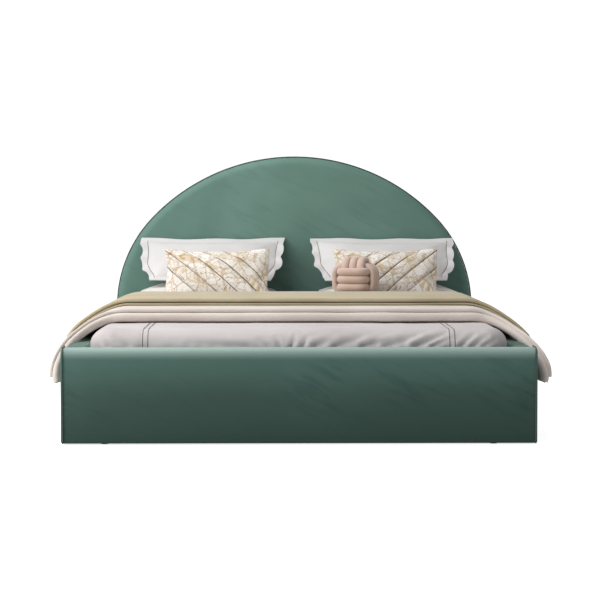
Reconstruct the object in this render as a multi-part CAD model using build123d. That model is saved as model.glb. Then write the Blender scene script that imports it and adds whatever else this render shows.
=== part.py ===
from build123d import *
import math
import os

# Upholstered double bed with an arched headboard, low padded rails, a steel slat base,
# a mattress and its bedding. Millimetres. The foot end faces -Y, the head end +Y, and the
# origin lies on the floor under the middle of the bed.

# Mattress and the clear space round it
mattress_width = 1600
mattress_length = 2000
mattress_thickness = 200
mattress_corner_radius = 90
mattress_gap = 15

# Upholstered frame
rail_thickness = 85
rail_top = 364
footboard_thickness = 80
headboard_thickness = 90
headboard_height = 1163
arch_rise = 750
arch_side_radius = 640

# Layers of the upholstery, from the outside in
cover_thickness = 2
skin_gap = 0.3
headboard_foam = 40
headboard_board = 15
rail_outer_foam = 24
rail_inner_foam = 8
rail_top_foam = 14
back_cloth_thickness = 1
back_return = 32

# Rounded edges of the padding
headboard_edge_radius = 32
headboard_foam_bevel = 26
soft_bevel_share = 0.72
soft_ease_share = 0.2
footboard_top_radius = 22
footboard_inner_radius = 10
end_pad_thickness = 8
end_pad_bevel = 6
rail_outer_radius = 25
rail_inner_radius = 12
rail_bottom_radius = 6
piping_diameter = 6
piping_flat_count = 6

# Timber inside the headboard
rib_width = 60
upright_width = 70
upright_offset = 480
crosspiece_height = 90

# Floor glides
glide_radius = 14
glide_height = 8
glide_inset = 120
round_flat_count = 10

# Corner brackets and their bolts
bracket_leg = 62
bracket_plate = 4
bracket_height = 68
bracket_bottom = 28
bolt_radius = 4
bolt_clearance = 0.5
bolt_head_radius = 7
bolt_head_height = 5
bolt_spacing = 38
bolt_from_corner = 38
rail_bolt_length = 42
headboard_bolt_length = 68
insert_radius = 6
insert_length = 24
insert_clearance = 0.1
fastener_flat_count = 6

# Ledges that carry the slat base
ledge_width = 30
ledge_height = 40
ledge_top = 142
ledge_end_gap = 6

# Steel slat base
tube_width = 25
tube_height = 40
tube_wall = 1.5
centre_tube_width = 40
leg_radius = 19
leg_wall = 2
leg_spacing = 900
leg_plate_size = 62
leg_plate_thickness = 3
foot_radius = 23
foot_height = 24
foot_floor = 6

# Sprung slats and their holders
slat_count = 15
slat_width = 63
slat_thickness = 8
slat_bow = 10
slat_bow_steps = 4
holder_floor = 4
holder_roof = 3
holder_wall = 4
holder_reach = 36
pocket_depth = 30
pocket_play = 0.3
pocket_rise = 2.6
slat_end_play = 1

# Mattress make-up
panel_thickness = 18
panel_edge_bevel = 12
border_thickness = 8
border_inset = 6
welt_radius = 4
welt_flat_count = 4

# Duvet
duvet_thickness = 28
duvet_flap_thickness = 10
duvet_hem = 300
duvet_edge_radius = 60
duvet_corner_radius = 100
duvet_head_gap = 6
lie_gap = 0.5

# Line that the folded blankets follow across the bed, half of it
drape_flat_inset = 45
shoulder_radius = 266
shoulder_turn = 25.4
edge_radius = 106
edge_turn = 64.6

# Folded blanket: two folds, the upper one set back
blanket_lead = 215
blanket_end_gap = 8
blanket_lower_fold = 36
blanket_upper_fold = 18
blanket_setback = 26
blanket_drop = 108
blanket_hem_bulge = 18
lower_fold_bevel = 12
upper_fold_bevel = 6
hem_nose_share = 0.28

# Folded throw: three thin layers, stepped
throw_length = 650
throw_end_gap = 7
throw_layer = 9.5
throw_layers = 3
throw_step = 12
throw_edge_turn = 34
throw_hem_bulge = 3

# Pillows: length across the bed, width, thickness
lower_pillow_size = (680, 464, 110)
sham_size = (640, 400, 128)
sham_flange = 40
sham_flange_thickness = 5
cushion_size = (500, 300, 118)
pillow_edge = 7
pillow_draw_in = 14
sham_tilt = 25
cushion_tilt = 66
pillow_headroom = 8
lower_pillow_side_shares = (-0.26875, 0.2875)
sham_side_shares = (-0.25625, 0.273125)
cushion_side_shares = (-0.2325, 0.26875)
soft_clearance = 0.6
channel_count = 5
channel_width = 5
channel_depth = 3
channel_pitch = 96
channel_slant = 48

# Knot cushion: three bands of three stuffed strands, each laid over the next
strand_width = 36
strand_thickness = 23
strands_per_band = 3
strand_gap = 0.5
strand_chamfer = 6
band_corner_share = 0.62
knot_side_share = 0.17375
knot_ahead = 12

# Sizes worked out from the driving ones
well_half_width = mattress_width / 2 + mattress_gap
well_length = mattress_length + 2 * mattress_gap
bed_width = 2 * (well_half_width + rail_thickness)
piping_proud = piping_diameter + skin_gap
overall_length = piping_proud + footboard_thickness + well_length + headboard_thickness
foot_face = piping_proud - overall_length / 2
foot_inner = foot_face + footboard_thickness
head_inner = foot_inner + well_length
head_back = overall_length / 2
well_centre = (foot_inner + head_inner) / 2
arch_spring = headboard_height - piping_diameter - arch_rise
cover_half_width = bed_width / 2 - piping_diameter
foam_inset = cover_thickness + skin_gap
piping_radius = piping_diameter / 2
piping_offset = piping_radius + skin_gap
seam_plane = head_inner + headboard_edge_radius
tube_top = ledge_top + tube_height
slat_bed = tube_top + holder_floor
slat_crown = slat_bed + skin_gap + slat_thickness + slat_bow
mattress_bottom = slat_crown + skin_gap
mattress_top = mattress_bottom + mattress_thickness
duvet_top = mattress_top + lie_gap + duvet_thickness
blanket_bottom = duvet_top + lie_gap
drape_flat_half = mattress_width / 2 - drape_flat_inset
throw_offset = blanket_lower_fold + blanket_upper_fold + lie_gap
bolt_heights = (
    bracket_bottom + (bracket_height - bolt_spacing) / 2,
    bracket_bottom + (bracket_height + bolt_spacing) / 2,
)
overrun = 5 * rail_thickness


# Basic shapes


def block(low, high):
    """Box between two opposite corners."""
    size = [b - a for a, b in zip(low, high)]
    middle = [(a + b) / 2 for a, b in zip(low, high)]
    return Pos(*middle) * Box(*size)


def along_y(face, front, back):
    """Solid from a face drawn in X and Z, between two places along the bed."""
    plane = Plane(origin=(0, back, 0), x_dir=(1, 0, 0), z_dir=(0, -1, 0))
    return extrude(plane * face, amount=back - front)


def along_x(face, left, right):
    """Solid from a face drawn in Y and Z, between two places across the bed."""
    plane = Plane(origin=(left, 0, 0), x_dir=(0, 1, 0), z_dir=(1, 0, 0))
    return extrude(plane * face, amount=right - left)


def rod(start, direction, radius, length):
    """Upright or level round bar from a point along a direction, drawn with a few flats."""
    plane = Plane(origin=start, z_dir=direction)
    return extrude(plane * RegularPolygon(radius, round_flat_count), amount=length)


def fastener_bar(start, direction, radius, length):
    """Hexagonal bar or hole for the small fasteners."""
    plane = Plane(origin=start, z_dir=direction)
    return extrude(plane * RegularPolygon(radius, fastener_flat_count), amount=length)


def rounded_face(low, high, radii):
    """Rectangle with a radius for each corner: lower left, lower right, upper right, upper left."""
    corners = [(low[0], low[1]), (high[0], low[1]), (high[0], high[1]), (low[0], high[1])]
    return make_face(FilletPolyline(*corners, radius=list(radii), close=True))


def both_sides(shape):
    """A shape and its mirror image across the bed's middle plane."""
    return [shape, mirror(shape, about=Plane.YZ)]


def group(shapes):
    return Compound(children=list(shapes))


# Headboard


def arch_curves(offset):
    """Three arcs of the arch, this far outside the cover, and where its sides start."""
    half = cover_half_width
    side = arch_side_radius
    crown = ((half - side) ** 2 + arch_rise**2 - side**2) / (2 * (arch_rise - side))
    turn = math.degrees(math.atan2(crown - arch_rise, half - side))
    crown_centre = (0, arch_spring + arch_rise - crown)
    right = CenterArc((half - side, arch_spring), side + offset, 0, turn)
    top = CenterArc(crown_centre, crown + offset, turn, 180 - 2 * turn)
    left = CenterArc((side - half, arch_spring), side + offset, 180 - turn, turn)
    return [right.edge(), top.edge(), left.edge()]


def arch_face(inset, bottom):
    """Headboard outline: straight sides under a three-centred arch."""
    half = cover_half_width - inset
    sides = Polyline((-half, arch_spring), (-half, bottom), (half, bottom), (half, arch_spring))
    return make_face([*sides.edges(), *arch_curves(-inset)])


def rim_edges(slab, bottom):
    """Edges round the front face of an arched slab, except the one along the bottom."""
    edges = slab.faces().sort_by(Axis.Y)[0].edges()
    return [e for e in edges if e.center().Z > bottom + glide_height]


def arched_slab(inset, front, back, bevel, bottom):
    """Arched slab with a bevel all the way round its front edge except along the bottom."""
    slab = along_y(arch_face(inset, bottom), front, back)
    return chamfer(rim_edges(slab, bottom), bevel)


def soft_arch(front, back, radius, bottom):
    """Arched slab whose front edge is turned over in three flats that follow a round."""
    bevel = radius * soft_bevel_share
    body = arched_slab(0, front, back, bevel, bottom)
    behind = front + bevel
    far_edges = body.edges().filter_by_position(Axis.Y, behind - skin_gap, behind + skin_gap)
    return chamfer([*rim_edges(body, bottom), *far_edges], radius * soft_ease_share)


def slit(place, direction, length):
    """Square cut in a soft layer, where a bolt passes."""
    plane = Plane(origin=place, z_dir=direction)
    side = 2 * (bolt_radius + bolt_clearance)
    return plane * Box(side, side, length, align=(Align.CENTER, Align.CENTER, Align.MIN))


def end_bolts(at_head):
    """Places of the bolts at one end of the bed."""
    return [(p, d) for p, d in end_bolt_places() if (d[1] > 0) == at_head]


def headboard_pieces():
    outer = soft_arch(head_inner, head_back, headboard_edge_radius, glide_height)
    inner_front = head_inner + cover_thickness
    inner_back = head_back - cover_thickness
    cavity = arched_slab(cover_thickness, inner_front, inner_back, headboard_foam_bevel, -overrun)
    window = along_y(arch_face(back_return, -overrun), inner_back - cover_thickness, head_back + overrun)
    holes = [slit(p, d, overrun) for p, d in end_bolts(True)]
    shell = outer - cavity - window - holes
    ahead = block(
        (-bed_width, head_inner - overrun, -overrun), (bed_width, seam_plane, 2 * headboard_height)
    )
    front_cover = shell & ahead
    boxing = shell - ahead

    board_front = head_inner + foam_inset + headboard_foam
    board_back = board_front + headboard_board
    foam_front = head_inner + foam_inset
    foam = arched_slab(foam_inset, foam_front, board_front, headboard_foam_bevel, glide_height)
    board = along_y(arch_face(foam_inset, glide_height), board_front, board_back)
    inserts = [fastener_bar(p, d, insert_radius, overrun) for p, d in end_bolts(True)]

    frame_back = inner_back - skin_gap
    rib = arch_face(foam_inset, glide_height) - arch_face(foam_inset + rib_width, glide_height)
    rib_solid = along_y(rib, board_back, frame_back)
    inside = along_y(arch_face(foam_inset + rib_width, glide_height), board_back, frame_back)
    uprights = [
        block(
            (side * upright_offset - upright_width / 2, board_back, 0),
            (side * upright_offset + upright_width / 2, frame_back, headboard_height),
        )
        & inside
        for side in (-1, 1)
    ]
    reach = upright_offset - upright_width / 2
    crosspieces = [
        block((-reach, board_back, low), (reach, frame_back, low + crosspiece_height))
        for low in (glide_height, rail_top)
    ]
    back_cloth = along_y(
        arch_face(back_return + skin_gap, glide_height),
        inner_back,
        inner_back + back_cloth_thickness,
    )
    return {
        "headboard_front_cover": front_cover,
        "headboard_side_boxing": boxing,
        "headboard_foam": foam - holes,
        "headboard_board": board - inserts,
        "headboard_arch_rib": rib_solid,
        "headboard_battens": group([*uprights, *crosspieces]),
        "headboard_back_cloth": back_cloth,
        "headboard_piping": headboard_piping(),
    }


def welt(path, start, radius, flat_count):
    """Cord along a path, drawn with a few flats."""
    return sweep(start * RegularPolygon(radius, flat_count), path=path)


def headboard_piping():
    """Welt cord along the seam between the front cover and the side boxing."""
    half = cover_half_width + piping_offset
    legs = [Line((x, glide_height), (x, arch_spring)) for x in (-half, half)]
    plane = Plane(origin=(0, seam_plane, 0), x_dir=(1, 0, 0), z_dir=(0, -1, 0))
    path = plane * Wire([*(leg.edge() for leg in legs), *arch_curves(piping_offset)])
    start = Plane(origin=(half, seam_plane, glide_height), z_dir=(0, 0, 1))
    return welt(path, start, piping_radius, piping_flat_count)


# Footboard


def footboard_face(inset):
    """Footboard section in Y and Z, with soft top edges."""
    radii = (
        rail_bottom_radius - inset,
        rail_bottom_radius - inset,
        footboard_inner_radius - inset,
        footboard_top_radius - inset,
    )
    return rounded_face(
        (foot_face + inset, glide_height + inset), (foot_inner - inset, rail_top - inset), radii
    )


def footboard_pieces():
    half = bed_width / 2 - end_pad_thickness
    holes = [slit(p, d, overrun) for p, d in end_bolts(False)]
    inserts = [fastener_bar(p, d, insert_radius, bracket_leg) for p, d in end_bolts(False)]
    sleeve = along_x(footboard_face(0) - footboard_face(cover_thickness), -half, half)
    inner_side = block((-half, foot_inner - rail_thickness / 2, 0), (half, foot_inner + overrun, rail_top))
    sleeve = sleeve - [h & inner_side for h in holes]
    core_box = block(
        (-half + skin_gap, foot_face + foam_inset + rail_outer_foam, glide_height + foam_inset),
        (half - skin_gap, foot_inner - foam_inset - rail_inner_foam, rail_top - foam_inset - rail_top_foam),
    )
    filling = along_x(footboard_face(foam_inset), -half + skin_gap, half - skin_gap)
    pad = along_x(footboard_face(0), half, bed_width / 2)
    outer_edges = pad.faces().sort_by(Axis.X)[-1].edges()
    pad = chamfer(outer_edges, end_pad_bevel)
    return {
        "footboard_cover": sleeve,
        "footboard_foam": filling - core_box - [h & inner_side for h in holes],
        "footboard_core": core_box - inserts,
        "footboard_end_pads": group(both_sides(pad)),
        "footboard_piping": group(both_sides(footboard_piping(half))),
    }


def footboard_piping(half):
    """Welt cord up the front edge of an end pad and back along its top edge."""
    ahead = foot_face - piping_offset
    above = rail_top + piping_offset
    bend = footboard_top_radius + piping_offset
    path = FilletPolyline(
        (ahead, glide_height), (ahead, above), (foot_inner, above), radius=bend
    )
    plane = Plane(origin=(half, 0, 0), x_dir=(0, 1, 0), z_dir=(1, 0, 0))
    start = Plane(origin=(half, ahead, glide_height), z_dir=(0, 0, 1))
    return welt(plane * path.wire(), start, piping_radius, piping_flat_count)


# Side rails


def rail_face(inset):
    """Section of the right rail in X and Z."""
    radii = (
        rail_bottom_radius - inset,
        rail_bottom_radius - inset,
        rail_outer_radius - inset,
        rail_inner_radius - inset,
    )
    return rounded_face(
        (well_half_width + inset, glide_height + inset), (bed_width / 2 - inset, rail_top - inset), radii
    )


def rail_pieces():
    holes = [slit(p, d, rail_bolt_length) for p, d in rail_bolt_places(1)]
    inserts = [fastener_bar(p, d, insert_radius, rail_bolt_length) for p, d in rail_bolt_places(1)]
    sleeve = along_y(rail_face(0) - rail_face(cover_thickness), foot_inner, head_inner) - holes
    core = block(
        (well_half_width + foam_inset + rail_inner_foam, foot_inner, glide_height + foam_inset),
        (bed_width / 2 - foam_inset - rail_outer_foam, head_inner, rail_top - foam_inset - rail_top_foam),
    )
    foam = along_y(rail_face(foam_inset), foot_inner, head_inner) - core - holes
    pieces = {}
    for name, shape in (("cover", sleeve), ("foam", foam), ("core", core - inserts)):
        right, left = both_sides(shape)
        pieces[f"side_rail_right_{name}"] = right
        pieces[f"side_rail_left_{name}"] = left
    return pieces


# Corner brackets, bolts and inserts


def rail_bolt_places(side):
    """Start point and direction of the bolts through the brackets into one rail."""
    x = side * (well_half_width - bracket_plate)
    places = []
    for y in (foot_inner + bolt_from_corner, head_inner - bolt_from_corner):
        places += [((x, y, z), (side, 0, 0)) for z in bolt_heights]
    return places


def end_bolt_places():
    """Start point and direction of the bolts into the headboard and footboard."""
    places = []
    for side in (-1, 1):
        x = side * (well_half_width - bolt_from_corner)
        for z in bolt_heights:
            places.append(((x, head_inner - bracket_plate, z), (0, 1, 0)))
            places.append(((x, foot_inner + bracket_plate, z), (0, -1, 0)))
    return places


def bolt(place, direction, length):
    """Hexagon bolt whose head bears on the bracket."""
    head_start = [p - d * bolt_head_height for p, d in zip(place, direction)]
    return fastener_bar(head_start, direction, bolt_head_radius, bolt_head_height) + fastener_bar(
        place, direction, bolt_radius, length
    )


def threaded_insert(place, direction, depth, length):
    """Sleeve pressed into the timber, round the end of a bolt."""
    start = [p + d * depth for p, d in zip(place, direction)]
    sleeve = fastener_bar(start, direction, insert_radius - insert_clearance, length)
    return sleeve - fastener_bar(start, direction, bolt_radius + insert_clearance, length)


def corner_hardware():
    leg, plate = bracket_leg, bracket_plate
    pieces = {}
    holes = [fastener_bar(p, d, bolt_radius + bolt_clearance, 2 * plate) for p, d in rail_bolt_places(1)]
    holes += [fastener_bar(p, d, bolt_radius + bolt_clearance, 2 * plate) for p, d in end_bolt_places()]
    top = bracket_bottom + bracket_height
    for end, wall, inward in (("head", head_inner, -1), ("foot", foot_inner, 1)):
        x = well_half_width
        along = sorted((wall, wall + inward * leg))
        thick = sorted((wall, wall + inward * plate))
        rail_leg = block((x - plate, along[0], bracket_bottom), (x, along[1], top))
        end_leg = block((x - leg, thick[0], bracket_bottom), (x, thick[1], top))
        bracket = rail_leg + end_leg - holes
        right, left = both_sides(bracket)
        pieces[f"corner_bracket_{end}_right"] = right
        pieces[f"corner_bracket_{end}_left"] = left

    rail_depth = bracket_plate + foam_inset + rail_inner_foam
    head_depth = bracket_plate + foam_inset + headboard_foam
    bolts, inserts = [], []
    for side in (-1, 1):
        for place, direction in rail_bolt_places(side):
            bolts.append(bolt(place, direction, rail_bolt_length))
            inserts.append(threaded_insert(place, direction, rail_depth, insert_length))
    for place, direction in end_bolt_places():
        at_head = direction[1] > 0
        length = headboard_bolt_length if at_head else rail_bolt_length
        depth = head_depth if at_head else rail_depth
        sleeve_length = headboard_board if at_head else insert_length
        bolts.append(bolt(place, direction, length))
        inserts.append(threaded_insert(place, direction, depth, sleeve_length))
    pieces["corner_bolts"] = group(bolts)
    pieces["threaded_inserts"] = group(inserts)
    return pieces


# Floor glides


def glide_places():
    rail_x = well_half_width + rail_thickness / 2
    ends = (foot_inner + glide_inset, well_centre, head_inner - glide_inset)
    places = [(side * rail_x, y) for side in (-1, 1) for y in ends]
    foot_y = foot_face + footboard_thickness / 2
    head_y = head_back - headboard_thickness / 2
    places += [(side * (rail_x - glide_inset), y) for side in (-1, 1) for y in (foot_y, head_y)]
    return places


def floor_glides():
    return group(rod((x, y, 0), (0, 0, 1), glide_radius, glide_height) for x, y in glide_places())


# Ledges and steel base


def ledges():
    low = ledge_top - ledge_height
    side = block(
        (well_half_width - ledge_width, foot_inner + ledge_end_gap, low),
        (well_half_width, head_inner - ledge_end_gap, ledge_top),
    )
    right, left = both_sides(side)
    reach = well_half_width - ledge_width - ledge_end_gap
    return {
        "side_ledge_right": right,
        "side_ledge_left": left,
        "head_ledge": block((-reach, head_inner - ledge_width, low), (reach, head_inner, ledge_top)),
        "foot_ledge": block((-reach, foot_inner, low), (reach, foot_inner + ledge_width, ledge_top)),
    }


def hollow(low, high, open_axis):
    """Rectangular steel tube between two corners, open at both ends."""
    inner_low = [a + tube_wall for a in low]
    inner_high = [b - tube_wall for b in high]
    inner_low[open_axis] = low[open_axis] - overrun
    inner_high[open_axis] = high[open_axis] + overrun
    return block(low, high) - block(inner_low, inner_high)


def steel_base():
    half, length = mattress_width / 2, mattress_length / 2
    front, back = well_centre - length, well_centre + length
    side = hollow((half - tube_width, front, ledge_top), (half, back, tube_top), 1)
    right, left = both_sides(side)
    inner = half - tube_width
    centre = centre_tube_width / 2
    legs, feet = [], []
    for y in (well_centre - leg_spacing / 2, well_centre + leg_spacing / 2):
        plate_half = leg_plate_size / 2
        plate = block(
            (-plate_half, y - plate_half, ledge_top - leg_plate_thickness),
            (plate_half, y + plate_half, ledge_top),
        )
        tall = ledge_top - leg_plate_thickness - foot_floor
        tube = rod((0, y, foot_floor), (0, 0, 1), leg_radius, tall)
        bore = rod((0, y, foot_floor), (0, 0, 1), leg_radius - leg_wall, tall)
        legs.append(plate + (tube - bore))
        cup = rod((0, y, 0), (0, 0, 1), foot_radius, foot_height)
        feet.append(cup - rod((0, y, foot_floor), (0, 0, 1), leg_radius + insert_clearance, foot_height))
    return {
        "base_side_tube_right": right,
        "base_side_tube_left": left,
        "base_head_tube": hollow((-inner, back - tube_width, ledge_top), (inner, back, tube_top), 0),
        "base_foot_tube": hollow((-inner, front, ledge_top), (inner, front + tube_width, tube_top), 0),
        "base_centre_tube": hollow(
            (-centre, front + tube_width, ledge_top), (centre, back - tube_width, tube_top), 1
        ),
        "centre_legs": group(legs),
        "centre_leg_feet": group(feet),
    }


# Slats and holders


def slat_rows():
    """Places of the slat centre lines along the bed."""
    reach = mattress_length / 2 - tube_width - slat_width / 2 - holder_wall - ledge_end_gap
    step = 2 * reach / (slat_count - 1)
    return [well_centre - reach + i * step for i in range(slat_count)]


def slat_ends():
    """Inner and outer X of the right-hand slats."""
    outer = mattress_width / 2 - holder_reach + pocket_depth - slat_end_play
    return holder_reach - pocket_depth + slat_end_play, outer


def slat():
    """One bowed slat on the right, its bow drawn in straight stretches."""
    inner, outer = slat_ends()
    low = slat_bed + skin_gap
    under = []
    for i in range(slat_bow_steps + 1):
        share = i / slat_bow_steps
        x = inner + (outer - inner) * share
        under.append((x, low + slat_bow * math.sin(math.pi * share)))
    over = [(x, z + slat_thickness) for x, z in reversed(under)]
    strip = make_face(Polyline(*under, *over, close=True))
    return along_y(strip, -slat_width / 2, slat_width / 2)


def holder(inner, outer, pockets):
    """Plastic cap on a tube with a pocket for each slat end it takes."""
    half = slat_width / 2 + pocket_play
    wall_half = half + holder_wall
    roof = slat_bed + slat_thickness + pocket_rise
    body = block((inner, -wall_half, tube_top), (outer, wall_half, roof + holder_roof))
    for low, high in pockets:
        body -= block((low, -half, slat_bed), (high, half, roof))
    return body


def slat_set():
    half = mattress_width / 2
    rows = slat_rows()
    right, left = both_sides(slat())
    start = half - holder_reach
    outer_holder = holder(start, half - ledge_end_gap / 2, [(start, start + pocket_depth)])
    cap_right, cap_left = both_sides(outer_holder)
    inset = holder_reach - pocket_depth
    centre_holder = holder(-holder_reach, holder_reach, [(-holder_reach, -inset), (inset, holder_reach)])
    return {
        "slats_right": group(Pos(0, y, 0) * right for y in rows),
        "slats_left": group(Pos(0, y, 0) * left for y in rows),
        "slat_holders_right": group(Pos(0, y, 0) * cap_right for y in rows),
        "slat_holders_left": group(Pos(0, y, 0) * cap_left for y in rows),
        "slat_holders_centre": group(Pos(0, y, 0) * centre_holder for y in rows),
    }


# Mattress


def plan_slab(grow, low, high):
    """Slab with the mattress's outline, grown or shrunk on every side."""
    outline = RectangleRounded(
        mattress_width + 2 * grow, mattress_length + 2 * grow, mattress_corner_radius + grow
    )
    return Pos(0, well_centre, low) * extrude(outline, amount=high - low)


def mattress_pieces():
    low, high = mattress_bottom, mattress_top
    border_low, border_high = low + panel_thickness, high - panel_thickness
    top = plan_slab(0, border_high, high)
    top = chamfer(top.faces().sort_by(Axis.Z)[-1].edges(), panel_edge_bevel)
    bottom = plan_slab(0, low, border_low)
    bottom = chamfer(bottom.faces().sort_by(Axis.Z)[0].edges(), panel_edge_bevel)
    inside = border_inset + border_thickness
    border = plan_slab(-border_inset, border_low, border_high) - plan_slab(-inside, border_low, border_high)
    core = plan_slab(-inside - skin_gap, border_low, border_high)
    reach = welt_radius + skin_gap - border_inset
    line = RectangleRounded(
        mattress_width + 2 * reach, mattress_length + 2 * reach, mattress_corner_radius + reach
    )
    welts = []
    for z in (border_low + welt_radius + skin_gap, border_high - welt_radius - skin_gap):
        path = Pos(0, well_centre, z) * line.wire()
        start = Plane(origin=(mattress_width / 2 + reach, well_centre, z), z_dir=(0, 1, 0))
        welts.append(welt(path, start, welt_radius, welt_flat_count))
    return {
        "mattress_top_panel": top,
        "mattress_bottom_panel": bottom,
        "mattress_border": border,
        "mattress_core": core,
        "mattress_welts": group(welts),
    }


# Bedding


def duvet():
    """Duvet over the whole mattress, tucked down at the sides and the foot."""
    grow = mattress_gap - cover_thickness
    front = well_centre - mattress_length / 2 - grow
    back = well_centre + mattress_length / 2 - duvet_head_gap
    outline = RectangleRounded(mattress_width + 2 * grow, back - front, duvet_corner_radius)
    body = Pos(0, (front + back) / 2, duvet_hem) * extrude(outline, amount=duvet_top - duvet_hem)
    body = fillet(body.faces().sort_by(Axis.Z)[-1].edges(), duvet_edge_radius)
    room = grow - duvet_flap_thickness
    hollow_plan = RectangleRounded(
        mattress_width + 2 * room, mattress_length + 2 * overrun, mattress_corner_radius + room
    )
    shift = well_centre + overrun - room
    hollow_low = mattress_bottom
    inner = Pos(0, shift, hollow_low) * extrude(hollow_plan, amount=mattress_top + lie_gap - hollow_low)
    inner = chamfer(inner.faces().sort_by(Axis.Z)[-1].edges(), panel_edge_bevel)
    return body - inner


def drape_line(offset, edge_angle, drop):
    """Right half of the line across the bed, this far outside the blanket's underside."""
    start = (drape_flat_half, blanket_bottom + offset)
    flat = Line((0, blanket_bottom + offset), start)
    shoulder = JernArc(start, (1, 0), shoulder_radius + offset, -shoulder_turn)
    edge = JernArc(shoulder @ 1, shoulder % 1, edge_radius + offset, -edge_angle)
    pieces = [flat, shoulder, edge]
    if drop:
        end = edge @ 1 + (edge % 1) * drop
        pieces.append(Line(edge @ 1, end))
    return pieces


def draped_band(inner, outer, edge_angle, drop, bulge, front, back):
    """Layer of folded cloth lying over the bed, with rounded hems."""
    under = drape_line(inner, edge_angle, drop)
    over = drape_line(outer, edge_angle, drop)
    a, b = under[-1] @ 1, over[-1] @ 1
    down = under[-1] % 1
    nose = (b - a) * hem_nose_share
    hem = Polyline(a, a + nose + down * bulge, b - nose + down * bulge, b)
    right = [*under, *over, *hem.edges()]
    outline = right + [mirror(e, about=Plane.YZ) for e in right]
    return along_y(make_face(outline), front, back)


def ease_folds(band, bevel):
    """Take the corners off the two folds of a draped band."""
    ends = band.faces().filter_by(Axis.Y)
    return chamfer([e for f in ends for e in f.edges()], bevel)


def throw_ends():
    """Y of the throw's two folds: its back one lies just ahead of the knot cushion."""
    back = knot_front() - throw_end_gap
    return back - throw_length, back


def blanket_ends():
    """Y of the blanket's two folds: its back one lies just ahead of the front cushions."""
    return throw_ends()[0] - blanket_lead, cushion_front() - blanket_end_gap


def blanket():
    """Thick blanket folded twice; its upper fold lies behind the lower one and under the throw."""
    split = blanket_lower_fold
    front, back = blanket_ends()
    lower = draped_band(
        0,
        split,
        edge_turn,
        blanket_drop,
        blanket_hem_bulge,
        front,
        back,
    )
    upper = draped_band(
        split,
        split + blanket_upper_fold,
        edge_turn,
        blanket_drop - blanket_setback,
        blanket_hem_bulge / 2,
        front + blanket_setback,
        throw_ends()[1] + skin_gap,
    )
    return ease_folds(lower, lower_fold_bevel) + ease_folds(upper, upper_fold_bevel)


def throw():
    """Thin throw folded in three, each layer stepped back from the one below."""
    front, back = throw_ends()
    body = None
    for i in range(throw_layers):
        inner = throw_offset + i * throw_layer
        step = i * throw_step
        turn = throw_edge_turn - math.degrees(step / (edge_radius + inner))
        band = draped_band(
            inner,
            inner + throw_layer,
            turn,
            0,
            throw_hem_bulge,
            front + step,
            back - step,
        )
        body = band if body is None else body + band
    return body


# Pillows and cushions


def lens_face(length, thickness):
    """Pillow outline seen from one side: two arcs that meet at blunt ends."""
    half, e = length / 2, pillow_edge / 2
    return make_face(
        Line((-half, -e), (-half, e))
        + ThreePointArc((-half, e), (0, thickness / 2), (half, e))
        + Line((half, e), (half, -e))
        + ThreePointArc((half, -e), (0, -thickness / 2), (-half, -e))
    )


def pillow_body(size):
    """Crowned pillow lying flat about the origin, its sides drawn in between the corners."""
    length, width, thickness = size
    body = along_x(lens_face(width, thickness), -length / 2, length / 2)
    body &= along_y(lens_face(length, thickness), -width / 2, width / 2)
    for side, across, turn in ((length, width, 0), (width, length, 90)):
        cut_radius = (across / 2) ** 2 / (2 * pillow_draw_in) + pillow_draw_in / 2
        cutter = Cylinder(cut_radius, 2 * thickness)
        for end in (-1, 1):
            centre = end * (side / 2 - pillow_draw_in + cut_radius)
            body -= Rot(0, 0, turn) * Pos(centre, 0, 0) * cutter
    return body


def sham_body():
    """Pillow in a case with a flat flange all round."""
    length, width, _ = sham_size
    flange = Box(length + 2 * sham_flange, width + 2 * sham_flange, sham_flange_thickness)
    return pillow_body(sham_size) + flange


def arc_radius(width, thickness):
    """Radius of the arc across a pillow."""
    rise = (thickness - pillow_edge) / 2
    half = width / 2
    return (half**2 + rise**2) / (2 * rise)


def sham_place():
    """Y and Z of a sham's centre: its top edge near the headboard, its underside on the lower pillow."""
    _, low_width, low_thickness = lower_pillow_size
    _, width, thickness = sham_size
    tilt = math.radians(sham_tilt)
    reach = width / 2 + sham_flange
    y = head_inner - pillow_headroom - reach * math.cos(tilt)
    y -= sham_flange_thickness * math.sin(tilt)
    low_radius = arc_radius(low_width, low_thickness)
    radius = arc_radius(width, thickness)
    low_y, low_z = lower_pillow_place()
    low_centre = (low_y, low_z + low_thickness / 2 - low_radius)
    lever = radius - thickness / 2
    dy = y - lever * math.sin(tilt) - low_centre[0]
    far = low_radius + radius + soft_clearance
    z = low_centre[1] + math.sqrt(far**2 - dy**2) - lever * math.cos(tilt)
    return y, z


def lower_pillow_place():
    _, width, thickness = lower_pillow_size
    y = head_inner - pillow_headroom - width / 2
    return y, duvet_top + soft_clearance + thickness / 2


def cushion_place():
    """Y and Z of a front cushion's centre: it stands on the duvet and leans on a sham's front edge."""
    _, width, thickness = cushion_size
    sham_y, sham_z = sham_place()
    tilt = math.radians(sham_tilt)
    reach = sham_size[1] / 2 + sham_flange
    edge_y = sham_y - reach * math.cos(tilt) - sham_flange_thickness * math.sin(tilt)
    edge_z = sham_z - reach * math.sin(tilt) + sham_flange_thickness * math.cos(tilt)
    lean = math.radians(cushion_tilt)
    foot = width / 2 * math.sin(lean) + pillow_edge / 2 * math.cos(lean)
    z = duvet_top + soft_clearance + foot
    radius = arc_radius(width, thickness)
    lever = radius - thickness / 2
    centre_z = z + lever * math.cos(lean)
    across = math.sqrt((radius + soft_clearance) ** 2 - (edge_z - centre_z) ** 2)
    return edge_y - across + lever * math.sin(lean), z


def cushion_front():
    """Y of a front cushion's foremost point, on the arc of its front face."""
    _, width, thickness = cushion_size
    radius = arc_radius(width, thickness)
    lever = radius - thickness / 2
    return cushion_place()[0] + lever * math.sin(math.radians(cushion_tilt)) - radius


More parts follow.
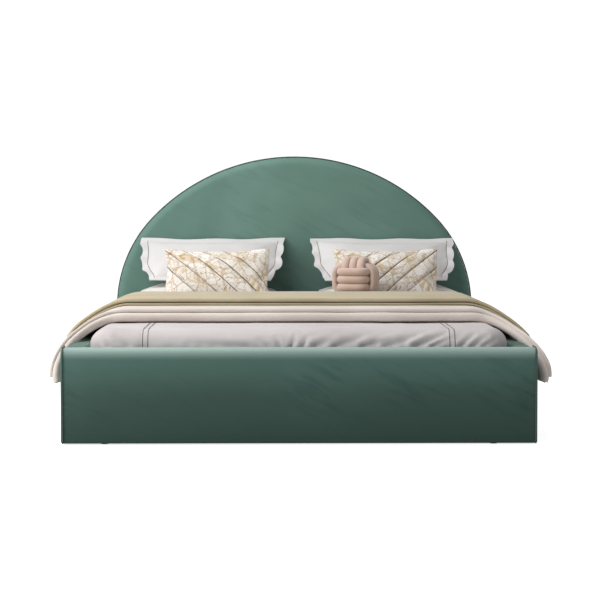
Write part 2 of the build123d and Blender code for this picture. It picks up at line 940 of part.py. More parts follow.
def cushion_body(slant):
    """Small cushion with slanting sewn channels across its front face."""
    length, width, thickness = cushion_size
    body = pillow_body(cushion_size)
    below_seams = pillow_body((length, width, thickness - 2 * channel_depth))
    for i in range(channel_count):
        x = (i - (channel_count - 1) / 2) * channel_pitch
        bar = Pos(0, 0, thickness / 2) * Box(channel_width, length + width, thickness)
        body -= Pos(x, 0, 0) * Rot(0, 0, slant) * bar - below_seams
    return body


def pillow_pieces():
    low_y, low_z = lower_pillow_place()
    sham_y, sham_z = sham_place()
    cushion_y, cushion_z = cushion_place()
    pieces = {}
    for i, side in enumerate(("left", "right")):
        slant = channel_slant * (1 - 2 * i)
        low_spot = Pos(lower_pillow_side_shares[i] * mattress_width, low_y, low_z)
        sham_spot = Pos(sham_side_shares[i] * mattress_width, sham_y, sham_z) * Rot(sham_tilt, 0, 0)
        cushion_spot = Pos(cushion_side_shares[i] * mattress_width, cushion_y, cushion_z)
        cushion_spot *= Rot(cushion_tilt, 0, 0)
        pieces[f"lower_pillow_{side}"] = low_spot * pillow_body(lower_pillow_size)
        pieces[f"sham_{side}"] = sham_spot * sham_body()
        pieces[f"cushion_{side}"] = cushion_spot * cushion_body(slant)
    return pieces


# Knot cushion


def strand_loop(outer_reach, inner_reach, width):
    """Flat-sided stuffed strand in a closed loop, lying in the XY plane."""
    half_x, half_y = inner_reach + strand_thickness / 2, outer_reach + strand_thickness / 2
    corner = band_corner_share * inner_reach

    def octagon(x, y, cut):
        return make_face(
            Polyline(
                (-x, y - cut), (-x, cut - y), (cut - x, -y), (x - cut, -y),
                (x, cut - y), (x, y - cut), (x - cut, y), (cut - x, y),
                close=True,
            )
        )

    thin = strand_thickness
    inner_cut = corner - thin * (2 - math.sqrt(2))
    ring = octagon(half_x, half_y, corner) - octagon(half_x - thin, half_y - thin, inner_cut)
    loop = extrude(ring, amount=width / 2, both=True)
    rims = [e for f in loop.faces().filter_by(Axis.Z) for e in f.edges()]
    return chamfer(rims, strand_chamfer)


def knot_reaches():
    """Half sizes of a loop's centre line: the side under the next band, and the side over it."""
    inner = (strands_per_band * strand_width + strand_thickness) / 2 + strand_gap
    return inner, inner + strand_thickness + strand_gap


def knot_front():
    """Y of the knot cushion's front face."""
    _, outer = knot_reaches()
    return cushion_front() - knot_ahead - 2 * outer - strand_thickness


def knot_cushion():
    """Three bands of loops at right angles; each lies over one band and under the other."""
    inner, outer = knot_reaches()
    loop = strand_loop(outer, inner, strand_width - strand_gap)
    turns = (Rot(0, 0, 0), Rot(0, 90, 0) * Rot(0, 0, 90), Rot(90, 0, 0) * Rot(0, 0, 90))
    loops = []
    for turn in turns:
        for i in range(strands_per_band):
            shift = (i - (strands_per_band - 1) / 2) * strand_width
            loops.append(turn * Pos(0, 0, shift) * loop)
    half = outer + strand_thickness / 2
    z = blanket_bottom + blanket_lower_fold + soft_clearance + half
    return Pos(knot_side_share * mattress_width, knot_front() + half, z) * group(loops)


def build():
    pieces = {}
    pieces.update(headboard_pieces())
    pieces.update(footboard_pieces())
    pieces.update(rail_pieces())
    pieces.update(corner_hardware())
    pieces["floor_glides"] = floor_glides()
    pieces.update(ledges())
    pieces.update(steel_base())
    pieces.update(slat_set())
    pieces.update(mattress_pieces())
    pieces["duvet"] = duvet()
    pieces["blanket"] = blanket()
    pieces["throw"] = throw()
    pieces.update(pillow_pieces())
    pieces["knot_cushion"] = knot_cushion()
    return pieces


os.makedirs("parts", exist_ok=True)
for name, shape in build().items():
    export_step(shape, f"parts/{name}.step")
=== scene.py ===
import math

import bpy
from mathutils import Matrix, Vector, noise
from mathutils.bvhtree import BVHTree


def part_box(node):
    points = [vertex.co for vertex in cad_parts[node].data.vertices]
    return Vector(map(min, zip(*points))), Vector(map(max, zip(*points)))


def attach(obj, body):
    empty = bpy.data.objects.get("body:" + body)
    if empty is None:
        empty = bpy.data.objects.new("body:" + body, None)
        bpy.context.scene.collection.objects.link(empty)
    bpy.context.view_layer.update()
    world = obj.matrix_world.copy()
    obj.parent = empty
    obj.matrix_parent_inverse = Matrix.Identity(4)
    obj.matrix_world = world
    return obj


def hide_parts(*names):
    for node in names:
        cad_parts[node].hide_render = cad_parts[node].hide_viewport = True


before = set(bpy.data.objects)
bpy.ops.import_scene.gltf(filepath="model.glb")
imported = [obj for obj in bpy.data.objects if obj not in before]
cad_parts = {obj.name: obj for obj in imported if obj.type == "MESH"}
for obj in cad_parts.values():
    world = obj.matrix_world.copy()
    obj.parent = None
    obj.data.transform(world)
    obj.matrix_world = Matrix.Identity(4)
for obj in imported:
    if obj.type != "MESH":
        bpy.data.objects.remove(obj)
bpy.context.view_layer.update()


# small tools

def lerp(a, b, t):
    return a + (b - a) * t


def smooth(t):
    t = min(1, max(0, t))
    return t * t * (3 - 2 * t)


def bump(t):
    # a soft hill, 1 in the middle and 0 beyond one either side
    return math.exp(-4 * t * t)


def wander(x, y, z, size, seed=0):
    # slow noise from -1 to 1; size is how wide one wave is
    return noise.noise(Vector((x / size + seed * 7.3, y / size - seed * 3.1, z / size + seed)))


def selectOnly(piece):
    bpy.ops.object.select_all(action="DESELECT")
    piece.select_set(True)
    bpy.context.view_layer.objects.active = piece


def gridPiece(name, cols, rows, place):
    # a flat grid whose corners are all moved to where the cloth lies
    bpy.ops.object.select_all(action="DESELECT")
    bpy.ops.mesh.primitive_grid_add(x_subdivisions=cols, y_subdivisions=rows, size=1)
    piece = bpy.context.object
    piece.name = piece.data.name = name
    for v in piece.data.vertices:
        v.co = place(v.co.x + .5, v.co.y + .5)
    return piece


def weld(piece, reach):
    selectOnly(piece)
    bpy.ops.object.mode_set(mode="EDIT")
    bpy.ops.mesh.select_all(action="SELECT")
    bpy.ops.mesh.remove_doubles(threshold=reach)
    bpy.ops.mesh.normals_make_consistent(inside=False)
    bpy.ops.object.mode_set(mode="OBJECT")


def addModifier(piece, kind, **values):
    mod = piece.modifiers.new(kind.title(), kind)
    for key, value in values.items():
        setattr(mod, key, value)
    selectOnly(piece)
    bpy.ops.object.modifier_apply(modifier=mod.name)


def thicken(piece, wall, side=-1):
    addModifier(piece, "SOLIDIFY", thickness=wall, offset=side)


def smoothShade(piece, angle=50):
    selectOnly(piece)
    bpy.ops.object.shade_smooth_by_angle(angle=math.radians(angle))


def clothPiece(name, cols, rows, place, wall=0, side=-1, angle=50, reach=.0004):
    # a grid laid in place, closed where its edges meet, with a wall if it has one
    piece = gridPiece(name, cols, rows, place)
    weld(piece, reach)
    if wall:
        thicken(piece, wall, side)
    if angle:
        smoothShade(piece, angle)
    return piece


def finishPiece(piece, body, slotName, finish, *nodes):
    piece.data.materials.clear()
    piece.data.materials.append(finish)
    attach(piece, body)
    if nodes:
        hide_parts(*nodes)
    return piece


def tubes(name, lines, radius, closed=False, sides=4):
    # round welts, stitches or tufts, one along each line of points
    curve = bpy.data.curves.new(name, "CURVE")
    curve.dimensions = "3D"
    curve.bevel_depth = radius
    curve.bevel_resolution = sides
    curve.use_fill_caps = True
    for points in lines:
        line = curve.splines.new("POLY")
        line.points.add(len(points) - 1)
        for p, place in zip(line.points, points):
            p.co = (*place, 1)
        line.use_cyclic_u = closed
    piece = bpy.data.objects.new(name, curve)
    bpy.context.collection.objects.link(piece)
    selectOnly(piece)
    bpy.ops.object.convert(target="MESH")
    piece = bpy.context.object
    weld(piece, .00005)
    smoothShade(piece)
    return piece


# shader maths as plain expressions

class Wire:
    def __init__(self, finish, out):
        self.finish, self.out = finish, out

    def maths(self, how, a, b=0.0):
        return self.finish.node("ShaderNodeMath", {"operation": how}, {0: a, 1: b})

    def __add__(self, o): return self.maths("ADD", self, o)
    def __radd__(self, o): return self.maths("ADD", o, self)
    def __sub__(self, o): return self.maths("SUBTRACT", self, o)
    def __rsub__(self, o): return self.maths("SUBTRACT", o, self)
    def __mul__(self, o): return self.maths("MULTIPLY", self, o)
    def __rmul__(self, o): return self.maths("MULTIPLY", o, self)
    def __truediv__(self, o): return self.maths("DIVIDE", self, o)
    def __rtruediv__(self, o): return self.maths("DIVIDE", o, self)
    def __abs__(self): return self.maths("ABSOLUTE", self)
    def fract(self): return self.maths("FRACT", self)
    def sine(self): return self.maths("SINE", self)
    def below(self, o): return self.maths("LESS_THAN", self, o)


class Finish:
    # one material, or the world, while it is being put together
    def __init__(self, name, family=bpy.data.materials):
        self.made = family.new(name)
        self.made.use_nodes = True
        self.tree = self.made.node_tree
        self.tree.nodes.clear()

    def node(self, kind, settings=None, inputs=None, output=0):
        made = self.tree.nodes.new(kind)
        for key, value in (settings or {}).items():
            setattr(made, key, value)
        for key, value in (inputs or {}).items():
            if isinstance(value, Wire):
                self.tree.links.new(value.out, made.inputs[key])
            else:
                made.inputs[key].default_value = value
        return Wire(self, made.outputs[output]) if made.outputs else None

    def place(self, scale=(1, 1, 1), turn=(0, 0, 0), kind="Object"):
        where = self.node("ShaderNodeTexCoord", output=kind)
        wide = tuple(1 / k for k in scale)  # a texture mapping turns the pattern itself
        return self.node("ShaderNodeMapping", {"vector_type": "TEXTURE"},
                         {"Vector": where, "Scale": wide, "Rotation": turn})

    def axis(self, vector, which):
        return self.node("ShaderNodeSeparateXYZ", None, {0: vector}, output=which)

    def noise(self, vector, scale, detail=3.0, rough=.5, warp=0.0):
        return self.node("ShaderNodeTexNoise", None, {
            "Vector": vector, "Scale": scale, "Detail": detail, "Roughness": rough, "Distortion": warp})

    def mix(self, share, a, b):
        a, b = (c if isinstance(c, Wire) else (*c, 1) for c in (a, b))
        return self.node("ShaderNodeMix", {"data_type": "RGBA"}, {0: share, 6: a, 7: b}, output=2)

    def span(self, value, low, high, toLow=0.0, toHigh=1.0):
        values = {0: value, 1: low, 2: high, 3: toLow, 4: toHigh}
        return self.node("ShaderNodeMapRange", {"interpolation_type": "SMOOTHSTEP"}, values)

    def layer(self, under, colour, mask, low, high, share=1):
        # colour over under where mask climbs from low to high
        cover = self.span(mask, low, high)
        return self.mix(cover * share if share < 1 else cover, under, colour)

    def bump(self, height, strength, distance, under=None):
        values = {"Height": height, "Strength": strength, "Distance": distance}
        if under is not None:
            values["Normal"] = under
        return self.node("ShaderNodeBump", None, values)

    def surface(self, **sockets):
        names = {"colour": "Base Color", "rough": "Roughness", "metal": "Metallic", "normal": "Normal",
                 "sheen": "Sheen Weight", "sheenRough": "Sheen Roughness", "sheenTint": "Sheen Tint",
                 "specular": "Specular IOR Level", "glow": "Emission Color",
                 "glowPower": "Emission Strength"}
        values = {}
        for key, value in sockets.items():
            tint = isinstance(value, tuple) and len(value) == 3
            values[names[key]] = (*value, 1) if tint else value
        shader = self.node("ShaderNodeBsdfPrincipled", None, values)
        self.node("ShaderNodeOutputMaterial", None, {"Surface": shader})
        return self.made


def srgb(r, g, b):
    # screen colour, 0 to 255, as the numbers that a shader wants
    def one(c):
        c /= 255
        return c / 12.92 if c <= .04045 else ((c + .055) / 1.055) ** 2.4
    return one(r), one(g), one(b)


# camera, lights, floor

studio = {
    "cameraPlace": (-.0724, -7.181, .860),
    "lens": 97.36,
    "pitchDown": 2.945,
    "yawRight": .70,
    "world": .42,
    "backdrop": 1.05,
    # place, target, size, power, tint
    "topSoftbox": ((-1.4, -.25, 3.1), (-.1, .35, .4), (2.4, 2.0), 74, (1, 1, 1)),
    "leftWindow": ((-3.7, -3.0, 2.0), (-.3, -.5, .5), (1.5, 1.5), 84, (1, .985, .96)),
    "floorGlow": .75,
}


def addSoftbox(name, place, target, size, power, tint):
    bpy.ops.object.light_add(type="AREA", location=place)
    lamp = bpy.context.object
    lamp.name = name
    lamp.data.shape = "RECTANGLE"
    lamp.data.size, lamp.data.size_y = size
    lamp.data.energy = power
    lamp.data.color = tint
    lamp.rotation_euler = (Vector(target) - Vector(place)).to_track_quat("-Z", "Y").to_euler()


def setStudio():
    bpy.ops.object.select_all(action="DESELECT")
    turn = (math.radians(90 - studio["pitchDown"]), 0, -math.radians(studio["yawRight"]))
    bpy.ops.object.camera_add(location=studio["cameraPlace"], rotation=turn)
    camera = bpy.context.object
    camera.name = "photoCamera"
    camera.data.lens = studio["lens"]
    camera.data.clip_end = 200
    bpy.context.scene.camera = camera

    # the backdrop is white, its light on the bed is softer
    sky = Finish("paleStudio", bpy.data.worlds)
    soft, bright = (sky.node("ShaderNodeBackground", None, {"Color": (1, 1, 1, 1), "Strength": studio[key]})
                    for key in ("world", "backdrop"))
    seen = sky.node("ShaderNodeLightPath", output="Is Camera Ray")
    either = sky.node("ShaderNodeMixShader", None, {0: seen, 1: soft, 2: bright})
    sky.node("ShaderNodeOutputWorld", None, {"Surface": either})
    bpy.context.scene.world = sky.made
    bpy.context.scene.view_settings.view_transform = "Standard"

    for name in ("topSoftbox", "leftWindow"):
        addSoftbox(name, *studio[name])

    bpy.ops.mesh.primitive_circle_add(vertices=96, radius=60, fill_type="NGON", location=(0, 0, 0))
    floor = bpy.context.object
    floor.name = "studioFloor"
    fin = Finish("floorPaint")
    grain = fin.noise(fin.place(), 3.0, 2.0)
    shade = fin.mix(grain, (.90, .90, .90), (.96, .96, .96))
    # white to the eye, but it throws no light of its own on the bed
    seenHere = fin.node("ShaderNodeLightPath", output="Is Camera Ray")
    glow = fin.mix(seenHere, (0, 0, 0), (1, 1, 1))
    floor.data.materials.append(fin.surface(colour=shade, rough=.8, specular=.2, glow=glow,
                                            glowPower=studio["floorGlow"]))


setStudio()
print("studio ready")


# finishes

velvet = {
    # how the pattern is drawn out, its slant, how strongly streaks show, the painted light on the upper
    # face and top edge (its range and tones), and the sheen tint
    "streakScale": (2.6, 2.6, 15),
    "streakSlant": math.radians(27),
    "streakShare": .62,
    "paintedLightUpperRange": (.17, .35, .42),
    "paintedLightUpperTone": (94, 132, 122),
    "paintedHighlightCrestTone": (166, 188, 182),
    "sheenTone": (190, 222, 210),
}


def velvetFinish(name, base, lift, streak, paintedBottomShade, crest=None):
    # short pile: slow nap patches, brushed streaks on a slant, a fine grain and a pale edge sheen; painted
    # shade darkens it towards the bottom, and where a crest is given, painted light brightens the upper
    # face and top edge
    fin = Finish(name)
    base, lift, streak = srgb(*base), srgb(*lift), srgb(*streak)
    where = fin.place()
    nap = fin.noise(where, 1.7, 3.0, .5, .6)
    brushed = fin.noise(fin.place(velvet["streakScale"], (0, velvet["streakSlant"], 0)), 2.2, 4.0, .55, .3)
    brushed = fin.span(brushed, .46, .74) * fin.span(fin.noise(where, 1.3, 1.0), .42, .60, .25, 1.0)
    height = fin.axis(where, 2)
    # painted shade: the cloth is darkened from the second height given down to the first and below, by the
    # third number
    low = fin.span(height, paintedBottomShade[0], paintedBottomShade[1])
    tone = fin.layer(base, lift, nap, .35, .68)
    tone = fin.mix(brushed * velvet["streakShare"], tone, streak)
    tone = fin.mix((1 - low) * paintedBottomShade[2], tone, (base[0] * .5, base[1] * .52, base[2] * .5))
    if crest:
        # painted light: the upper face is made a little lighter and the top edge pale, as a painted
        # highlight
        tone = fin.layer(tone, srgb(*velvet["paintedLightUpperTone"]), height, *velvet["paintedLightUpperRange"])
        tone = fin.layer(tone, srgb(*velvet["paintedHighlightCrestTone"]), height, *crest)
    pile = fin.noise(where, 900.0, 2.0, .7)
    tone = fin.layer(tone, lift, pile, .3, .75, .22)
    soft = fin.bump(fin.noise(where, 7.0, 2.0), .08, .02)
    grain = fin.bump(pile, .25, .0006, soft)
    rough = fin.span(nap, .3, .7, .62, .78)
    return fin.surface(colour=tone, rough=rough, normal=grain, sheen=.55, sheenRough=.32,
                       sheenTint=srgb(*velvet["sheenTone"]), specular=.18)


def weaveFinish(name, base, shade, thread, grainScale=240.0, sheen=.12, rough=.85, bumpiness=.3):
    # plain woven cloth on its own map: two crossing threads, slubs and a slow change of tone
    fin = Finish(name)
    base, shade = srgb(*base), srgb(*shade)
    own = fin.place(kind="UV")
    across, along = fin.axis(own, 0), fin.axis(own, 1)
    warp = (across * thread[0]).sine()
    weft = (along * thread[1]).sine()
    weave = (warp * weft + 1) * .5
    where = fin.place()
    slow = fin.noise(where, 3.2, 3.0)
    slub = fin.noise(where, grainScale, 2.0, .6)
    tone = fin.layer(base, shade, slow, .35, .7)
    tone = fin.layer(tone, (base[0] * .78, base[1] * .77, base[2] * .75), slub, .42, .75, .3)
    tone = fin.mix(weave * .1, tone, (base[0] * .8, base[1] * .79, base[2] * .78))
    relief = fin.bump(weave, bumpiness * .4, .0005, fin.bump(slub, bumpiness, .0007))
    return fin.surface(colour=tone, rough=rough, normal=relief, sheen=sheen, sheenRough=.5,
                       sheenTint=(1, .98, .95), specular=.15)


def grainFinish(name, dark, light, stretch, rough, metal, scale, lustre):
    # wood, plastic or painted steel: grain drawn out along one way
    fin = Finish(name)
    dark, light = srgb(*dark), srgb(*light)
    where = fin.place(stretch)
    rings = fin.noise(where, scale, 6.0, .6, 1.2)
    fine = fin.noise(where, scale * 12, 3.0)
    tone = fin.layer(dark, light, rings, .3, .7)
    tone = fin.layer(tone, dark, fine, .4, .7, .35)
    return fin.surface(colour=tone, rough=fin.span(fine, .3, .7, rough - .08, rough + .08), metal=metal,
                       normal=fin.bump(fine, .12, .0006), specular=lustre)


# one velvet in lit and shaded copies: the headboard's copy is lighter as painted light, the footboard's and
# the rails' darker as painted shade; each is also darkened towards the bottom as painted shade, and the
# footboard's top edge carries a painted highlight
velvetLitBoard = velvetFinish("velvetHeadboardLitCopy", (93, 124, 114), (106, 137, 127), (88, 118, 110),
                           (.25, .75, .2))
velvetShadedFrame = velvetFinish("velvetShadedFrame", (63, 88, 80), (72, 97, 90), (40, 64, 64),
                           (.0, .33, .7), (.318, .366, .9))
velvetShadedRail = velvetFinish("velvetShadedRail", (58, 82, 74), (68, 92, 85), (48, 70, 66), (.0, .33, .4))
pipingFinish = grainFinish("pipingSatin", (44, 62, 56), (62, 84, 76), (1, 1, 1), .34, 0, 160.0, .7)
# cloth: base, shade, threads across and along, then slub scale, sheen, roughness and relief
duvetFinish = weaveFinish("duvetCotton", (208, 202, 203), (198, 190, 190), (2400.0, 2400.0))
# darker copy of the cotton for the duvet cords and the sham seams: painted shade of the seam grooves
seamShadeFinish = weaveFinish("duvetCord", (128, 118, 116), (112, 102, 100), (2400.0, 2400.0))
blanketFinish = weaveFinish("blanketWool", (224, 215, 208), (212, 202, 194), (900.0, 1200.0),
                            160.0, .25, .92, .5)
throwFinish = weaveFinish("throwWool", (186, 174, 146), (174, 161, 131), (900.0, 420.0),
                          180.0, .25, .92, .5)
pillowFinish = weaveFinish("pillowCotton", (222, 219, 216), (212, 209, 207), (1500.0, 1000.0))
shamFinish = weaveFinish("shamCotton", (212, 210, 210), (201, 199, 199), (1500.0, 1000.0))
tickingFinish = weaveFinish("mattressTicking", (228, 226, 220), (218, 215, 208), (1900.0, 1900.0))
slotFinishes = {
    "velvet": velvetShadedFrame, "piping": pipingFinish, "ticking": tickingFinish, "duvet_cotton": duvetFinish,
    "blanket_wool": blanketFinish, "throw_wool": throwFinish, "pillow_cotton": pillowFinish,
    "sham_cotton": shamFinish,
}
# inner pieces: slot, name, dark, light, stretch of the grain, roughness, metal, scale, lustre
for slotName, *values in (
        ("foam", "foam", (226, 216, 178), (238, 230, 196), (1, 1, 1), .9, 0, 60.0, .1),
        ("back_cloth", "backCloth", (38, 40, 42), (52, 54, 56), (1, 1, 1), .9, 0, 220.0, .1),
        ("timber", "timber", (176, 138, 94), (206, 172, 126), (1, 9, 9), .6, 0, 6.0, .3),
        ("birch", "birchSlats", (214, 184, 138), (232, 208, 166), (1, 14, 14), .45, 0, 5.0, .4),
        ("plastic", "holderPlastic", (26, 26, 27), (36, 36, 38), (1, 1, 1), .5, 0, 90.0, .4),
        ("powder_coat", "powderCoat", (30, 31, 33), (42, 43, 45), (1, 1, 1), .55, .1, 120.0, .5),
        ("zinc", "zinc", (168, 170, 172), (196, 198, 200), (1, 1, 1), .35, .9, 70.0, .5)):
    slotFinishes[slotName] = grainFinish(*values)
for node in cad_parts.values():
    for matSlot in node.material_slots:
        key = matSlot.material.name.split(".")[0] if matSlot.material else ""
        if key in slotFinishes:
            matSlot.material = slotFinishes[key]
print("finishes ready")


# headboard: three-centred arch, crowned front, side boxing and a welt on the seam

headboard = {
    "halfWidth": .894,
    "spring": .407,
    "rise": .75,
    "sideRadius": .64,
    "front": 1.01315,
    "seam": 1.04515,
    "back": 1.10315,
    "bottom": .008,
    "edgeRadius": .032,
    "rollover": .040,
    "rimShare": .25,
    "crown": .005,
    "crownEase": .2,
    "ripple": .0008,
    "rippleSize": .16,
    "middleTop": .52,
    "frontRows": 40,
    "welt": .003,
    "backRadius": .007,
    "backReturn": .032,
    "boxingShares": (.5, .78),
    "boxingCrown": .0015,
    "steps": 240,
    "wall": .002,
}


def archLine(grow, count):
    # points up the left side, over the arch and down the right side, with the way out at each
    hb = headboard
    spring, rise, side = hb["spring"], hb["rise"], hb["sideRadius"]
    inset = hb["halfWidth"] - side
    crown = (inset ** 2 + rise ** 2 - side ** 2) / (2 * (rise - side))
    turn = math.atan2(crown - rise, inset)
    middle = spring + rise - crown
    leg, shoulder, over = spring - hb["bottom"], side * turn, crown * (math.pi / 2 - turn)
    half = leg + shoulder + over
    points = []
    for i in range(count + 1):
        share = i / count
        mirror = -1 if share < .5 else 1
        s = half * 2 * min(share, 1 - share)
        if s <= leg:
            p, out = (hb["halfWidth"] + grow, hb["bottom"] + s), (1, 0)
        else:
            onSide = s <= leg + shoulder
            a = (s - leg) / side if onSide else turn + (s - leg - shoulder) / crown
            out = (math.cos(a), math.sin(a))
            r = (side if onSide else crown) + grow
            p = (inset + r * out[0], spring + r * out[1]) if onSide else (r * out[0], middle + r * out[1])
        points.append((Vector((mirror * p[0], 0, p[1])), Vector((mirror * out[0], 0, out[1]))))
    return points


def headboardFront():
    # w runs round the rolled edge, then over the face to its middle line
    hb = headboard
    count, rimShare = hb["steps"], hb["rimShare"]
    rim = archLine(0, count)

    def place(u, w):
        edge, out = rim[round(u * count)]
        if w < rimShare:
            a = w / rimShare * math.pi / 2
            p = edge - out * hb["rollover"] * (1 - math.cos(a))
            y = hb["seam"] - hb["edgeRadius"] * math.sin(a)
            inward = 0
        else:
            start = edge - out * hb["rollover"]
            middle = Vector((0, 0, min(start.z, hb["middleTop"])))
            p = start.lerp(middle, (w - rimShare) / (1 - rimShare))
            y = hb["front"]
            inward = (p - start).length
        y -= hb["crown"] * smooth(inward / hb["crownEase"])
        y -= hb["ripple"] * (wander(p.x, 0, p.z, hb["rippleSize"], 2) + 1) * smooth(inward / .05)
        return p.x, y, p.z

    return clothPiece("headboardFront", count, hb["frontRows"], place, hb["wall"])


def headboardBoxing():
    # w runs back along the strip, round the back edge and in over the back
    hb = headboard
    count, r = hb["steps"], hb["backRadius"]
    side, corner = hb["boxingShares"]
    rim = archLine(0, count)
    front = hb["seam"] + .0003

    def place(u, w):
        edge, out = rim[round(u * count)]
        if w < side:
            t = w / side
            p, y = edge + out * hb["boxingCrown"] * math.sin(math.pi * t), lerp(front, hb["back"] - r, t)
        elif w < corner:
            a = (w - side) / (corner - side) * math.pi / 2
            p, y = edge - out * r * (1 - math.cos(a)), hb["back"] - r * (1 - math.sin(a))
        else:
            p, y = edge - out * lerp(r, hb["backReturn"], (w - corner) / (1 - corner)), hb["back"]
        return p.x, y, p.z

    return clothPiece("headboardBoxing", count, 14, place, hb["wall"])


def headboardWelt():
    hb = headboard
    line = [(p.x, hb["seam"], p.z) for p, _ in archLine(hb["welt"] + .0002, 260)]
    return tubes("headboardWelt", [line], hb["welt"])


finishPiece(headboardFront(), "bed_frame", "velvet", velvetLitBoard, "headboard_front_cover")
finishPiece(headboardBoxing(), "bed_frame", "velvet", velvetLitBoard, "headboard_side_boxing")
finishPiece(headboardWelt(), "bed_frame", "piping", pipingFinish, "headboard_piping")
print("headboard ready")


# footboard and side rails: a padded sleeve round a section, drawn taut but softly crowned

bars = {
    "footFace": -1.09685,
    "footInner": -1.01685,
    "headInner": 1.01315,
    "wellHalf": .815,
    "halfWidth": .9,
    "bottom": .005,
    "top": .364,
    "endPad": .008,
    "bulge": .0045,
    "welt": .003,
    "wall": .0015,
    "columns": 190,
    "cell": .009,
    "endEase": .09,
    "turnIn": .014,
    "pucker": .0012,
    # slow waves of the cloth: reach and size
    "waves": ((.0012, .22), (.0008, .07)),
    # end pads: inset and depth of the rim, crown of the face, and the spine's way in from both ends
    "padRim": .0065,
    "padDepth": .0075,
    "padCrown": .0005,
    "padSpine": .04,
    # corner radii of the sections: lower left, lower right, upper right, upper left
    "footRadii": (.006, .006, .010, .022),
    "railRadii": (.006, .006, .025, .012),
}


def sectionLoop(low, high, radii):
    # closed rounded section from its lower left corner
    points = []
    for i, r in enumerate(radii):
        cx = low[0] + r if i in (0, 3) else high[0] - r
        cy = low[1] + r if i < 2 else high[1] - r
        for k in range(9):
            a = (i + 2 + k / 8) * math.pi / 2
            points.append((cx + r * math.cos(a), cy + r * math.sin(a)))
    dense = []
    for a, b in zip(points, points[1:] + points[:1]):
        parts = max(1, round(math.dist(a, b) / bars["cell"]))
        dense += [(lerp(a[0], b[0], k / parts), lerp(a[1], b[1], k / parts)) for k in range(parts)]
    return dense


def paddedSleeve(name, loop, start, end, put, outSide, seed):
    # loop: section points; put turns (along, across, up) into a place; outSide is the side that is seen
    cols, count = bars["columns"], len(loop)
    lowA, highA = min(p[0] for p in loop), max(p[0] for p in loop)
    lowB, highB = min(p[1] for p in loop), max(p[1] for p in loop)

    def place(u, w):
        a, b = loop[round(w * count) % count]
        along = lerp(start, end, u)
        rise = math.sin(math.pi * min(1, max(0, (b - lowB) / (highB - lowB)))) ** .6
        # the crown fades towards the ends, where the cloth puckers a little
        full = smooth(min(u, 1 - u) * abs(end - start) / bars["endEase"])
        swell = lerp(.25, 1, full) * bars["bulge"] + (1 - full) * bars["pucker"] * math.sin(b * 260 + seed)
        for k, (reach, size) in enumerate(bars["waves"]):
            swell += reach * wander(along, b, 0, size, seed + 3 * k) * full
        onFace = (highA - a if outSide < 0 else a - lowA) / (highA - lowA)
        a += outSide * swell * rise * smooth((onFace - .5) * 2)
        col = round(u * cols)
        if min(col, cols - col) < 2:
            # the cloth turns in round the ends of the foam
            along = start if col < 2 else end
            if col in (0, cols):
                a -= math.copysign(bars["turnIn"], a - (lowA + highA) / 2)
                b -= math.copysign(bars["turnIn"], b - (lowB + highB) / 2)
        return put(along, a, b)

    return clothPiece(name, cols, count, place, bars["wall"])


def endPad(name, loop, side):
    # soft flat pad over one end of the footboard: a rounded rim, then a face closed on its spine
    count, rim, spine = len(loop), bars["padRim"], bars["padSpine"]
    midA = sum(p[0] for p in loop) / count
    inner = bars["halfWidth"] - bars["endPad"]

    def place(u, w):
        p = Vector(loop[round(u * count) % count])
        toward = Vector((midA, min(max(p.y, bars["bottom"] + spine), bars["top"] - spine))) - p
        if w <= .5:
            angle = w / .5 * math.pi / 2
            x = inner + bars["padDepth"] * math.sin(angle)
            share = rim * (1 - math.cos(angle)) / toward.length
        else:
            t = (w - .5) / .5
            x = inner + bars["padDepth"] + bars["padCrown"] * math.sin(t * math.pi / 2)
            share = lerp(rim / toward.length, 1, t)
        p += toward * share
        return side * x, p.x, p.y

    return clothPiece(name, count, 8, place)


def footWelt(name, x):
    # up the front edge, over the rounded top and back to the well
    ahead = bars["footFace"] - bars["welt"] - .0002
    above = bars["top"] + bars["welt"] + .0002
    bend = bars["footRadii"][3] + bars["welt"]
    line = [(x, ahead, bars["bottom"])]
    for k in range(13):
        a = math.pi - k / 12 * math.pi / 2
        line.append((x, ahead + bend + bend * math.cos(a), above - bend + bend * math.sin(a)))
    line.append((x, bars["footInner"], above))
    return tubes(name, [line], bars["welt"])


footLoop = sectionLoop((bars["footFace"], bars["bottom"]), (bars["footInner"], bars["top"]),
                       bars["footRadii"])
railLoop = sectionLoop((bars["wellHalf"], bars["bottom"]), (bars["halfWidth"], bars["top"]),
                       bars["railRadii"])
padEdge = bars["halfWidth"] - bars["endPad"]
footCover = paddedSleeve("footboardCover", footLoop, -padEdge, padEdge,
                         lambda along, a, b: (along, a, b), -1, 1)
finishPiece(footCover, "bed_frame", "velvet", velvetShadedFrame, "footboard_cover")
for side, word in ((-1, "Left"), (1, "Right")):
    rail = paddedSleeve("sideRail" + word, railLoop, bars["footInner"], bars["headInner"],
                        lambda along, a, b: (side * a, along, b), 1, 4 + side)
    finishPiece(rail, "bed_frame", "velvet", velvetShadedRail, f"side_rail_{word.lower()}_cover")
    pad = endPad("footboardEnd" + word, footLoop, side)
    welt = footWelt("footboardWelt" + word, side * padEdge)
    # one node holds both pads and one all the welts, so the right-hand pieces stand for them
    finishPiece(pad, "bed_frame", "velvet", velvetShadedFrame, *(["footboard_end_pads"] if side > 0 else []))
    finishPiece(welt, "bed_frame", "piping", pipingFinish, *(["footboard_piping"] if side > 0 else []))
print("footboard and rails ready")


# mattress: quilted panels, a soft border and two tape-edge welts

mattress = {
    "halfWidth": .790,
    "foot": -.990,
    "head": .988,
    "bottom": .2052,
    "top": .4004,
    "corner": .085,
    "panel": .016,
    "welt": .0042,
    "rimShare": .12,
    "spine": .7,
    "quilt": .085,
    "quiltDepth": .0035,
    "quiltLine": .16,
    "quiltEase": .06,
    "borderWall": .003,
    "borderCrown": .004,
    "stitchRows": (.33, .67),
    "stitchDepth": .0025,
    "stitchWidth": .035,
}


